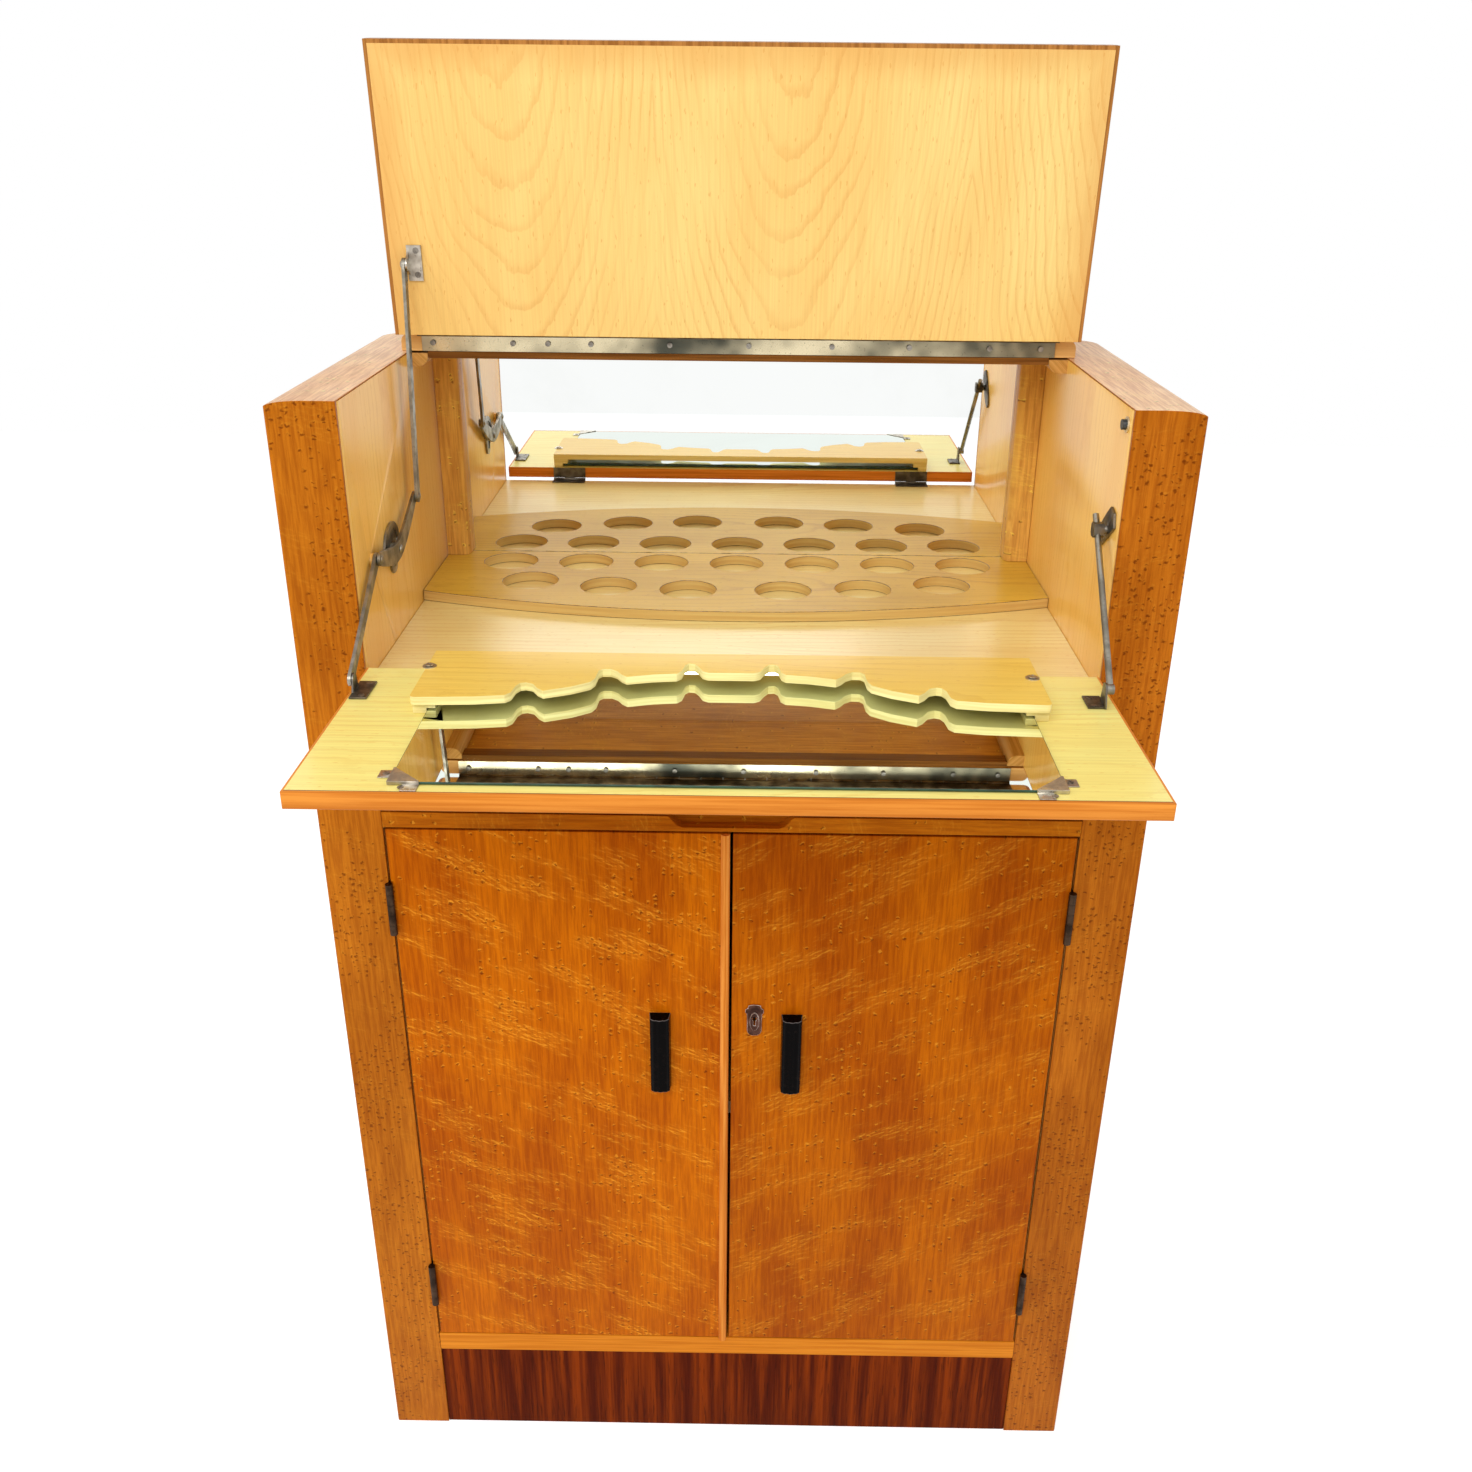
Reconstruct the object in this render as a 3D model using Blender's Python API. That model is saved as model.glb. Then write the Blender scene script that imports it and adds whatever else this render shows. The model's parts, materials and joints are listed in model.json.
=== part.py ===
"""Bar cabinet with a drop front, a lifting lid, a frieze drawer and a cupboard.

Metres, +Z up. The front is at -Y, left and right are as the user faces the front.
Depths are measured back from the front plane of the cabinet, heights from the floor.
The object is modelled open, as it stands for use: lid up and flap down.
"""

from math import asin, atan2, cos, hypot, pi, radians, sin

import bmesh
import bpy
from mathutils import Matrix, Vector

# Overall sizes
CABINET_WIDTH = 0.876
CABINET_DEPTH = 0.438
SIDE_HEIGHT = 1.347
SIDE_WIDTH = 0.068
BOARD = 0.018
GAP = 0.0003
OVERRUN = 0.004

# Side casings: hollow, veneered all round, with a crowned top
CASING_WALL = 0.018
CASING_FACING = 0.005
CASING_CORNER = 0.002
CAP_EDGE = 0.0015
CROWN_DROP = 0.0055
CROWN_SHARES = ((0, 0), (0.45, 0), (0.6, 0.05), (0.74, 0.17), (0.86, 0.38), (0.95, 0.66), (1, 1))

# Plinth and cupboard
PLINTH_HEIGHT = 0.134
PLINTH_SETBACK = 0.002
REAR_PLINTH_SETBACK = 0.022
BOTTOM_RAIL = 0.028
DOOR_BOTTOM_GAP = 0.002
DOOR_TOP_GAP = 0.0025
DOOR_THICKNESS = 0.019
DOOR_SIDE_GAP = 0.0026
LEFT_DOOR_EDGE = 0.0005
RIGHT_DOOR_EDGE = 0.0025
BEAD_WIDTH = 0.0096
BEAD_DROP = 0.0025
SHELF_SHARE = 0.485
SHELF_SETBACK = 0.028
SHELF_HOUSING = 0.006

# Finger scoop in the top front edge of the division board
SCOOP_LENGTH = 0.134
SCOOP_DEPTH = 0.0135
SCOOP_REACH = 0.014
SCOOP_SHARES = (
    (-1, 0), (-0.955, 0.2), (-0.91, 0.5), (-0.85, 0.8), (-0.76, 1),
    (0.76, 1), (0.85, 0.8), (0.91, 0.5), (0.955, 0.2), (1, 0),
)

# Drawer
DRAWER_SPACE = 0.128
DRAWER_CLEARANCE = 0.0015
DRAWER_FRONT_THICKNESS = 0.018
DRAWER_SIDE_THICKNESS = 0.010
DRAWER_REAR_GAP = 0.038
DRAWER_SIDE_DROP = 0.008
DRAWER_BOTTOM_THICKNESS = 0.005
DRAWER_BOTTOM_HEIGHT = 0.009
DRAWER_GROOVE = 0.004

# Cocktail compartment
COMPARTMENT_HEIGHT = 0.283
FLOOR_SETBACK = 0.0015
BACK_THICKNESS = 0.005
BACK_BOTTOM = 0.020
MIRROR_THICKNESS = 0.005
POST_WIDTH = 0.029
POST_DEPTH = 0.021
POST_CORNER = 0.010
RACK_THICKNESS = 0.012
RACK_END_REACH = 0.175
RACK_MIDDLE_REACH = 0.238
HOLE_RADIUS = 0.0338
REAR_ROW_MARGIN = 0.053
REAR_ROW_SHARE = 0.2568
FRONT_ROW_MARGIN = 0.078
FRONT_ROW_SHARES = (-0.673, -0.412, -0.153, 0.153, 0.412, 0.673)

# Lid and the rail that carries it
RAIL_DEPTH = 0.142
LID_THICKNESS = 0.019
LID_OVERLAP = 0.0075
LID_SETBACK = 0.0025
LID_CORNER = 0.009
LID_OPENING = radians(85)
CLEAT_WIDTH = 0.021
CLEAT_HEIGHT = 0.017
CLEAT_CORNER = 0.012

# Hinges: thin leaves with round knuckles
LEAF = 0.0009
LID_HINGE_MARGIN = 0.016
LID_KNUCKLE_RADIUS = 0.0022
LID_KNUCKLES = 25
FLAP_HINGE_LENGTH = 0.050
FLAP_HINGE_MARGIN = 0.100
FLAP_KNUCKLE_RADIUS = 0.0022
FLAP_LEAF_LENGTH = 0.016
DOOR_HINGE_LENGTH = 0.064
DOOR_HINGE_RISE = 0.086
DOOR_HINGE_DROP = 0.0965
DOOR_KNUCKLE_RADIUS = 0.0042
DOOR_LEAF_LENGTH = 0.016
DOOR_KNUCKLES = 5
KNUCKLE_GAP = 0.0003

# Flap
FLAP_TOP_GAP = 0.002
FLAP_THICKNESS = 0.016
FLAP_SIDE_GAP = 0.0035
FLAP_EDGE_ROUND = 0.0022
FLAP_HINGE_AHEAD = 0.002
FLAP_HINGE_RISE = 0.0015
FLAP_EDGE_GAP = 0.0015

# Flap mirror, clips and stem rack
FLAP_MIRROR_THICKNESS = 0.005
FLAP_MIRROR_MARGIN = 0.089
FLAP_MIRROR_EDGE = 0.017
FLAP_MIRROR_REAR = 0.014
CLIP_LENGTH = 0.026
CLIP_SHEET = 0.0008
CLIP_TAB = 0.012
STEM_BOARD = 0.0083
STEM_CLEAR = 0.012
STEM_MARGIN = 0.0755
STEM_REAR = 0.006
STEM_FRONT = 0.125
STEM_CORNER = 0.005
STEM_BLOCK_WIDTH = 0.0215
STEM_BLOCK_SHARE = 0.93
STEM_EDGE_SHARES = (
    (0, 0.45), (0.075, 0.45), (0.094, 0.42), (0.108, 0.33), (0.122, 0.272), (0.142, 0.262), (0.154, 0.3),
    (0.163, 0.43), (0.178, 0.475), (0.255, 0.5), (0.338, 0.555), (0.356, 0.51), (0.373, 0.44),
    (0.395, 0.398), (0.422, 0.402), (0.434, 0.44), (0.438, 0.59), (0.45, 0.665), (0.51, 0.765),
    (0.592, 0.85), (0.612, 0.8), (0.632, 0.715), (0.655, 0.69), (0.672, 0.705), (0.683, 0.76),
    (0.69, 0.89), (0.706, 0.94), (0.8, 0.975), (0.9, 0.99),
)

# Linkage on the left panel: depths are from the front plane, and rises from the compartment floor,
# or from the board that carries the pin
SHEET = 0.0025
LINK_GAP = 0.0004
ROCKER_DEPTH = 0.1399
ROCKER_RISE = 0.1001
ROCKER_TAIL_DEPTH = 0.2255
ROCKER_TAIL_RISE = 0.1357
ROCKER_NOSE_DEPTH = 0.0634
ROCKER_NOSE_RISE = 0.1117
LID_PIN_AHEAD = 0.0779
LID_PIN_DROP = 0.0099
FLAP_PIN_AHEAD = 0.0646
FLAP_PIN_RISE = 0.0123
PIN_RADIUS = 0.0022
PIN_FIT = 0.0003
PIN_HEAD_RADIUS = 0.0046
PIN_HEAD_HEIGHT = 0.0022
LINK_WIDTH = 0.0112
LINK_EYE = 0.0136
EYE_SHARES = ((0, 1), (0.7, 0.93))
NECK_SHARE = 1.6
LINK_THICKNESS = 0.0034
ROCKER_WIDTH = 0.0178
ROCKER_BOSS = 0.0075
ROCKER_THICKNESS = 0.0034
ROCKER_NOSE_SHARE = 0.78
ROCKER_BELLY_SHARE = 0.42
ROCKER_TAIL_SHARE = 0.16
PLATE_WIDTH = 0.062
PLATE_HEIGHT = 0.056
PLATE_RIM_SHARE = 0.74
PLATE_POCKET_SHARE = 0.4
PLATE_SHARES = (
    (0.16, -0.96), (0.4, -0.8), (0.5, -0.35), (0.62, 0), (0.88, 0.1), (1, 0.32), (0.86, 0.62),
    (0.5, 0.92), (0.15, 1), (-0.25, 0.93), (-0.68, 0.72), (-0.95, 0.3), (-0.98, -0.1), (-0.72, -0.34),
    (-0.4, -0.42), (-0.28, -0.74), (-0.1, -0.94),
)
BUFFER_DEPTH = 0.0645
BUFFER_RISE = 0.110
BUFFER_RADIUS = 0.0075
LID_BRACKET_WIDTH = 0.0155
LID_BRACKET_HEIGHT = 0.0366
FLAP_BRACKET_WIDTH = 0.017
FLAP_BRACKET_LENGTH = 0.042
BRACKET_SHEET = 0.002
LUG_RADIUS = 0.0065
LUG_FOOT = 0.0105
LID_LUG_FOOT = 0.013

# Stay on the right panel
STAY_LINE = 0.012
SWIVEL_DEPTH = 0.0391
SWIVEL_RISE = 0.1586
SWIVEL_SIZE = 0.014
SWIVEL_BOSS = 0.0045
STAY_PIN_AHEAD = 0.0776
STAY_PIN_RISE = 0.0173
STAY_RADIUS = 0.0032
STAY_TAIL = 0.010
STAY_EYE = 0.005
STAY_EYE_WIDTH = 0.0066
STAY_FOOT_WIDTH = 0.017
STAY_FOOT_AHEAD = 0.008
STAY_FOOT_BEHIND = 0.020
SWIVEL_SHARE = 0.6
STAY_PLATE_SHARES = (
    (-0.5, 0.85), (-0.15, 1), (0.25, 0.55), (0.85, -0.25), (1, -0.75), (0.8, -1), (0.45, -0.8),
    (-0.2, -0.15), (-0.62, 0.3),
)
STAY_PLATE_WIDTH = 0.074
STAY_PLATE_HEIGHT = 0.050
STOP_RADIUS = 0.005
STOP_LENGTH = 0.0055
STOP_HEAD = 0.017
STOP_RING = 0.0075
STOP_RING_THICKNESS = 0.0012

# Handles, lock and bolt
HANDLE_WIDTH = 0.024
HANDLE_HEIGHT = 0.114
HANDLE_DEPTH = 0.020
HANDLE_DROP = 0.2885
HANDLE_PLACE = 0.0755
HANDLE_FLUTES = 5
HANDLE_FLUTE_DEPTH = 0.0011
HANDLE_END = 0.012
HANDLE_SHOULDER_SHARE = 0.62
HANDLE_TAPER_SHARE = 0.1
ESCUTCHEON_WIDTH = 0.021
ESCUTCHEON_HEIGHT = 0.042
ESCUTCHEON_PLACE = 0.0285
ESCUTCHEON_DROP = 0.2385
ESCUTCHEON_SHEET = 0.0012
ESCUTCHEON_OVAL = 0.001
ESCUTCHEON_SHARES = (
    (0.3, -1), (0.62, -0.9), (0.78, -0.72), (0.8, 0.1), (0.84, 0.42), (1, 0.5), (0.98, 0.7),
    (0.72, 0.78), (0.66, 0.94), (0.3, 1),
)
OVAL_SHARES = (0.5, 0.58, -0.08)
KEYHOLE_RADIUS = 0.0028
KEYHOLE_SLOT = 0.0024
KEYHOLE_LENGTH = 0.012
LOCK_WIDTH = 0.045
LOCK_HEIGHT = 0.050
LOCK_DEPTH = 0.011
LOCK_BOLT_WIDTH = 0.020
LOCK_BOLT_THICKNESS = 0.005
LOCK_BOLT_LENGTH = 0.028
LOCK_BOLT_THROW = 0.007
BOLT_PLACE = 0.030
BOLT_RADIUS = 0.003
BOLT_LENGTH = 0.060
BOLT_THROW = 0.009
BOLT_STANDOFF = 0.0055
BOLT_PLATE_WIDTH = 0.022
BOLT_PLATE_SHEET = 0.0015
BOLT_STAPLE = 0.007
BOLT_KNOB_RADIUS = 0.0028
BOLT_KNOB_LENGTH = 0.007

# Places worked out from the sizes
HALF_WIDTH = CABINET_WIDTH / 2
HALF_OPENING = HALF_WIDTH - SIDE_WIDTH
FLAP_REACH = COMPARTMENT_HEIGHT - FLAP_TOP_GAP
CENTRE_SHIFT = (CABINET_DEPTH - FLAP_REACH) / 2
BACK_FRONT = CABINET_DEPTH - GAP - BACK_THICKNESS
BOARD_REAR = BACK_FRONT - GAP
MIRROR_FRONT = BOARD_REAR - MIRROR_THICKNESS
CAVITY_HALF = HALF_OPENING - GAP
BOTTOM_TOP = PLINTH_HEIGHT + BOTTOM_RAIL
FLOOR_TOP = SIDE_HEIGHT - COMPARTMENT_HEIGHT
FLOOR_UNDER = FLOOR_TOP - BOARD
DIVISION_TOP = FLOOR_UNDER - DRAWER_SPACE
DIVISION_UNDER = DIVISION_TOP - BOARD
SHELF_HEIGHT = BOTTOM_TOP + SHELF_SHARE * (DIVISION_UNDER - BOTTOM_TOP)
DRAWER_LENGTH = CABINET_DEPTH - DRAWER_REAR_GAP
DOOR_BOTTOM = BOTTOM_TOP + DOOR_BOTTOM_GAP
DOOR_TOP = DIVISION_UNDER - DOOR_TOP_GAP
DOOR_HINGE_HEIGHTS = (DOOR_BOTTOM + DOOR_HINGE_RISE, DOOR_TOP - DOOR_HINGE_DROP)
HANDLE_MIDDLE = DOOR_TOP - HANDLE_DROP
ESCUTCHEON_MIDDLE = DOOR_TOP - ESCUTCHEON_DROP
RACK_TOP = FLOOR_TOP + GAP + RACK_THICKNESS
RACK_END_DEPTH = CABINET_DEPTH - RACK_END_REACH
RACK_MIDDLE_DEPTH = CABINET_DEPTH - RACK_MIDDLE_REACH
REAR_ROW_DEPTH = CABINET_DEPTH - REAR_ROW_MARGIN
REAR_ROW_PITCH = HALF_OPENING * REAR_ROW_SHARE
RAIL_FRONT = CABINET_DEPTH - RAIL_DEPTH
LID_UNDER = SIDE_HEIGHT + GAP
LID_TOP = LID_UNDER + LID_THICKNESS
LID_HALF = HALF_OPENING + LID_OVERLAP
LID_AXIS_DEPTH = RAIL_FRONT - GAP - LEAF - GAP / 2
LID_AXIS_HEIGHT = LID_TOP + LID_KNUCKLE_RADIUS - GAP
LID_REAR = LID_AXIS_DEPTH - GAP / 2 - LEAF - GAP
LID_HINGE_LENGTH = 2 * (HALF_OPENING - LID_HINGE_MARGIN)
FLAP_AXIS_DEPTH = -FLAP_HINGE_AHEAD
FLAP_AXIS_HEIGHT = FLOOR_TOP + FLAP_HINGE_RISE
FLAP_REAR = FLAP_AXIS_DEPTH - FLAP_EDGE_GAP
FLAP_UNDER = FLAP_AXIS_HEIGHT + FLAP_HINGE_AHEAD
FLAP_TOP = FLAP_UNDER + FLAP_THICKNESS
FLAP_HALF = HALF_OPENING - FLAP_SIDE_GAP
FLAP_HINGE_PLACE = HALF_OPENING - FLAP_HINGE_MARGIN
FLAP_MIRROR_HALF = HALF_OPENING - FLAP_MIRROR_MARGIN
FLAP_MIRROR_FRONT = FLAP_REACH - FLAP_MIRROR_EDGE
STEM_HALF = HALF_OPENING - STEM_MARGIN
DOOR_HALF = HALF_OPENING - DOOR_SIDE_GAP
DOOR_AXIS = HALF_OPENING - DOOR_SIDE_GAP / 2
DOOR_AXIS_DEPTH = -DOOR_KNUCKLE_RADIUS - GAP
PLATE_INNER = CAVITY_HALF - SHEET
LOWER_LINK_OUTER = PLATE_INNER - LINK_GAP * 2
LOWER_LINK_INNER = LOWER_LINK_OUTER - LINK_THICKNESS
ROCKER_OUTER = LOWER_LINK_INNER - LINK_GAP
ROCKER_INNER = ROCKER_OUTER - ROCKER_THICKNESS
UPPER_LINK_OUTER = ROCKER_INNER - LINK_GAP
UPPER_LINK_INNER = UPPER_LINK_OUTER - LINK_THICKNESS
BAR_LINE = HALF_OPENING - STAY_LINE
SWIVEL_OUTER = BAR_LINE + SWIVEL_SIZE / 2 - SHEET / 2
SWIVEL_PIN_END = BAR_LINE + STAY_RADIUS + 3 * GAP


# Materials


def material(name, colour, roughness, metallic=0.0):
    made = bpy.data.materials.get(name)
    if made is None:
        made = bpy.data.materials.new(name)
        made.use_nodes = True
        shader = made.node_tree.nodes["Principled BSDF"]
        shader.inputs["Base Color"].default_value = (*colour, 1.0)
        shader.inputs["Roughness"].default_value = roughness
        shader.inputs["Metallic"].default_value = metallic
    return made


def amber_maple():
    return material("amber birdseye maple", (0.62, 0.27, 0.055), 0.3)


def pale_maple():
    return material("pale maple", (0.80, 0.52, 0.20), 0.3)


def cream_maple():
    return material("cream maple", (0.82, 0.60, 0.24), 0.35)


def brown_lipping():
    return material("brown lipping", (0.36, 0.15, 0.05), 0.4)


def walnut():
    return material("walnut", (0.20, 0.075, 0.03), 0.4)


def plywood():
    return material("plywood", (0.55, 0.38, 0.2), 0.6)


def nickel():
    return material("worn nickel", (0.42, 0.39, 0.34), 0.3, 1.0)


def bronze():
    return material("dark bronze", (0.12, 0.075, 0.045), 0.4, 1.0)


def copper():
    return material("aged copper", (0.40, 0.17, 0.09), 0.35, 1.0)


def steel():
    return material("dull steel", (0.45, 0.44, 0.42), 0.35, 1.0)


def black_plastic():
    return material("black moulding", (0.012, 0.011, 0.011), 0.25)


def rubber():
    return material("black rubber", (0.02, 0.02, 0.02), 0.7)


def silvered_glass():
    return material("mirror glass", (0.85, 0.88, 0.88), 0.02, 1.0)


# Frames: one empty for each body, with its origin on the axis that the body moves about


def frame(name, x, depth, height, tilt=0.0):
    empty = bpy.data.objects.new(name, None)
    empty.location = (x, depth - CENTRE_SHIFT, height)
    empty.rotation_euler = (tilt, 0.0, 0.0)
    empty["corner"] = (x, depth, height)
    bpy.context.scene.collection.objects.link(empty)
    return empty


def add_object(name, bm, look, body, corner=None):
    """Turns a mesh drawn in cabinet places into an object that rides on its body's frame."""
    corner = Vector(body["corner"]) if corner is None else Vector(corner)
    bmesh.ops.translate(bm, verts=bm.verts, vec=-corner)
    bmesh.ops.recalc_face_normals(bm, faces=bm.faces)
    mesh = bpy.data.meshes.new(name)
    bm.to_mesh(mesh)
    bm.free()
    obj = bpy.data.objects.new(name, mesh)
    obj.parent = body
    bpy.context.scene.collection.objects.link(obj)
    if look is not None:
        mesh.materials.append(look)
        mesh.shade_smooth()
        mesh.set_sharp_from_angle(angle=radians(32))
    return obj


def tool(name, bm, body, corner=None):
    """A hidden cutter or added shape for a Boolean."""
    helper = add_object(name, bm, None, body, corner)
    helper.hide_render = True
    helper.display_type = "WIRE"
    return helper


def cut(obj, bm, corner=None):
    helper = tool(obj.name + ".cut", bm, obj.parent, corner)
    boolean = obj.modifiers.new("Cut", "BOOLEAN")
    boolean.operation = "DIFFERENCE"
    boolean.solver = "EXACT"
    boolean.object = helper


def join(obj, bm, corner=None):
    helper = tool(obj.name + ".add", bm, obj.parent, corner)
    boolean = obj.modifiers.new("Join", "BOOLEAN")
    boolean.operation = "UNION"
    boolean.solver = "EXACT"
    boolean.object = helper


def soften(obj, width, segments=1):
    bevel = obj.modifiers.new("Edge", "BEVEL")
    bevel.width = width
    bevel.segments = segments
    bevel.limit_method = "ANGLE"
    bevel.angle_limit = radians(50)


def front_edges(obj, depth):
    """Marks the edges that lie in the plane at depth, in the object's own places, for rounding."""
    weights = obj.data.attributes.new("bevel_weight_edge", "FLOAT", "EDGE")
    points = obj.data.vertices
    for edge in obj.data.edges:
        if all(abs(points[i].co.y - depth) < GAP for i in edge.vertices):
            weights.data[edge.index].value = 1.0


# Shapes: outlines extruded along an axis, in cabinet places


def put_point(axis, a, b, c):
    if axis == "X":
        return (c, a, b)
    if axis == "Y":
        return (a, c, b)
    return (a, b, c)


def prism(bm, outline, low, high, axis="Z"):
    """Extrudes a closed outline from low to high; the outline lies in YZ, XZ or XY."""
    ring = [bm.verts.new(put_point(axis, a, b, low)) for a, b in outline]
    face = bm.faces.new(ring)
    grown = bmesh.ops.extrude_face_region(bm, geom=[face])
    moved = [item for item in grown["geom"] if isinstance(item, bmesh.types.BMVert)]
    bmesh.ops.translate(bm, verts=moved, vec=Vector(put_point(axis, 0, 0, high - low)))
    return bm


def box(bm, x, depth, height):
    """A block between the two ends of x, depth and height."""
    outline = ((x[0], depth[0]), (x[1], depth[0]), (x[1], depth[1]), (x[0], depth[1]))
    return prism(bm, outline, height[0], height[1])


def arc(centre, radius, start, end, steps):
    """Points on an arc, both ends included; angles in degrees."""
    angles = [radians(start + (end - start) * i / steps) for i in range(steps + 1)]
    return [(centre[0] + radius * cos(a), centre[1] + radius * sin(a)) for a in angles]


def circle(centre, radius, sides):
    return arc(centre, radius, 0, 360, sides)[:-1]


def rod(bm, centre, radius, low, high, axis="X", sides=16):
    return prism(bm, circle(centre, radius, sides), low, high, axis)


def smooth_points(points, steps, closed=False):
    """Points on the smooth curve that passes through the given ones."""
    count = len(points)
    spans = count if closed else count - 1
    found = []
    for i in range(spans):
        near = []
        for k in (-1, 0, 1, 2):
            index = (i + k) % count if closed else min(max(i + k, 0), count - 1)
            near.append(Vector(points[index]))
        for step in range(steps):
            t = step / steps
            through = 2 * near[1] + (near[2] - near[0]) * t
            through += (2 * near[0] - 5 * near[1] + 4 * near[2] - near[3]) * t * t
            through += (3 * near[1] - near[0] - 3 * near[2] + near[3]) * t * t * t
            found.append(through / 2)
    if not closed:
        found.append(Vector(points[-1]))
    return [(point.x, point.y) for point in found]


def strap(points, half_widths, end_sides=6):
    """The outline of a flat bar along points, with round ends and a width at each point."""
    count = len(points)
    left = []
    right = []
    for i in range(count):
        before = Vector(points[max(i - 1, 0)])
        after = Vector(points[min(i + 1, count - 1)])
        way = (after - before).normalized()
        side = Vector((-way.y, way.x)) * half_widths[i]
        left.append(Vector(points[i]) + side)
        right.append(Vector(points[i]) - side)
    outline = [(p.x, p.y) for p in left]
    way = Vector(points[-1]) - Vector(points[-2])
    turn = 180 / pi * atan2(way.y, way.x)
    outline += arc(points[-1], half_widths[-1], turn + 90, turn - 90, end_sides)[1:-1]
    outline += [(p.x, p.y) for p in reversed(right)]
    way = Vector(points[0]) - Vector(points[1])
    turn = 180 / pi * atan2(way.y, way.x)
    outline += arc(points[0], half_widths[0], turn + 90, turn - 90, end_sides)[1:-1]
    return outline


def dome(bm, centre, radius, height, base, axis="Z", sides=12, rings=3):
    """A domed head: an arc spun about its axis, standing on base; height may be negative."""
    start = Vector(put_point(axis, centre[0], centre[1], base))
    along = Vector(put_point(axis, 0, 0, 1))
    across = Vector(put_point(axis, 1, 0, 0))
    profile = [bm.verts.new(start)]
    for i in range(rings + 1):
        angle = pi / 2 * i / rings
        reach = radius * cos(angle) if i < rings else 0.0
        profile.append(bm.verts.new(start + across * reach + along * (height * sin(angle))))
    edges = [bm.edges.new((a, b)) for a, b in zip(profile, profile[1:])]
    bmesh.ops.spin(
        bm, geom=profile + edges, cent=start, axis=along, angle=2 * pi, steps=sides, use_merge=True
    )
    bmesh.ops.remove_doubles(bm, verts=bm.verts, dist=GAP / 30)
    return bm


def mirrored(outline):
    return [(-a, b) for a, b in reversed(outline)]


def sided(outline, side):
    """The outline for the right side, or its mirror image for the left side."""
    return outline if side > 0 else mirrored(outline)


def span(side, inner, outer):
    """The two x ends of something that runs from inner to outer on one side."""
    return (inner, outer) if side > 0 else (-outer, -inner)


def turned(point, angle):
    """A (depth, height) offset turned about the x axis."""
    return (
        point[0] * cos(angle) - point[1] * sin(angle),
        point[0] * sin(angle) + point[1] * cos(angle),
    )


# Side casings, inner panels and crowned caps


def crown(side):
    """The crowned line of a side's top, from the inner edge outwards."""
    line = [(HALF_OPENING + SIDE_WIDTH * a, SIDE_HEIGHT - CROWN_DROP * b) for a, b in CROWN_SHARES]
    return line if side > 0 else [(-a, b) for a, b in line]


def side_casing(side, name, cabinet):
    inner = HALF_OPENING
    step = HALF_OPENING + BOARD + GAP
    wall = HALF_WIDTH - CASING_WALL
    outline = [(inner, 0.0)]
    outline += arc((HALF_WIDTH - CASING_CORNER, CASING_CORNER), CASING_CORNER, -90, 0, 3)
    outline += arc((HALF_WIDTH - CASING_CORNER, CABINET_DEPTH - CASING_CORNER), CASING_CORNER, 0, 90, 3)
    outline += [
        (inner, CABINET_DEPTH),
        (inner, CABINET_DEPTH - CASING_FACING),
        (step, CABINET_DEPTH - CASING_FACING),
        (step, CABINET_DEPTH - CASING_WALL),
        (wall, CABINET_DEPTH - CASING_WALL),
        (wall, CASING_WALL),
        (step, CASING_WALL),
        (step, CASING_FACING),
        (inner, CASING_FACING),
    ]
    bm = prism(bmesh.new(), sided(outline, side), 0.0, SIDE_HEIGHT)
    casing = add_object(name, bm, amber_maple(), cabinet)
    inside = (CASING_WALL / 2, CABINET_DEPTH - CASING_WALL / 2)
    under = SIDE_HEIGHT - CROWN_DROP - BOARD
    across = span(side, step, HALF_WIDTH - CASING_WALL / 2)
    join(casing, box(bmesh.new(), across, inside, (under, SIDE_HEIGHT + OVERRUN)))
    edge = (CASING_FACING / 2, CABINET_DEPTH - CASING_FACING / 2)
    cover = (SIDE_HEIGHT - CAP_EDGE, SIDE_HEIGHT + OVERRUN)
    join(casing, box(bmesh.new(), span(side, inner, step + OVERRUN), edge, cover))
    line = crown(side)
    first, last = line[0], line[-1]
    out = side * OVERRUN
    above = [(first[0] - out, first[1])] + line
    above += [(last[0] + out, last[1]), (last[0] + out, SIDE_HEIGHT + 2 * OVERRUN)]
    above += [(first[0] - out, SIDE_HEIGHT + 2 * OVERRUN)]
    cut(casing, prism(bmesh.new(), above, -OVERRUN, CABINET_DEPTH + OVERRUN, "Y"))


def inner_panel(side, name, cabinet):
    """The pale inner side, housed for the shelf, with the rounded block under the rail's end."""
    bm = box(
        bmesh.new(),
        span(side, HALF_OPENING, HALF_OPENING + BOARD),
        (CASING_FACING + GAP, CABINET_DEPTH - CASING_FACING - GAP),
        (0.0, SIDE_HEIGHT - CAP_EDGE - GAP),
    )
    panel = add_object(name, bm, pale_maple(), cabinet)
    join(panel, rail_cleat(side))
    cut(panel, box(
        bmesh.new(),
        span(side, HALF_OPENING - OVERRUN, HALF_OPENING + SHELF_HOUSING),
        (SHELF_SETBACK - GAP, BOARD_REAR),
        (SHELF_HEIGHT - BOARD - GAP, SHELF_HEIGHT + GAP),
    ))
    if side < 0:
        middle = (BUFFER_DEPTH, FLOOR_TOP + BUFFER_RISE)
        join(panel, rod(bmesh.new(), middle, BUFFER_RADIUS, -HALF_OPENING - OVERRUN, -PLATE_INNER, "X", 16))


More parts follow.
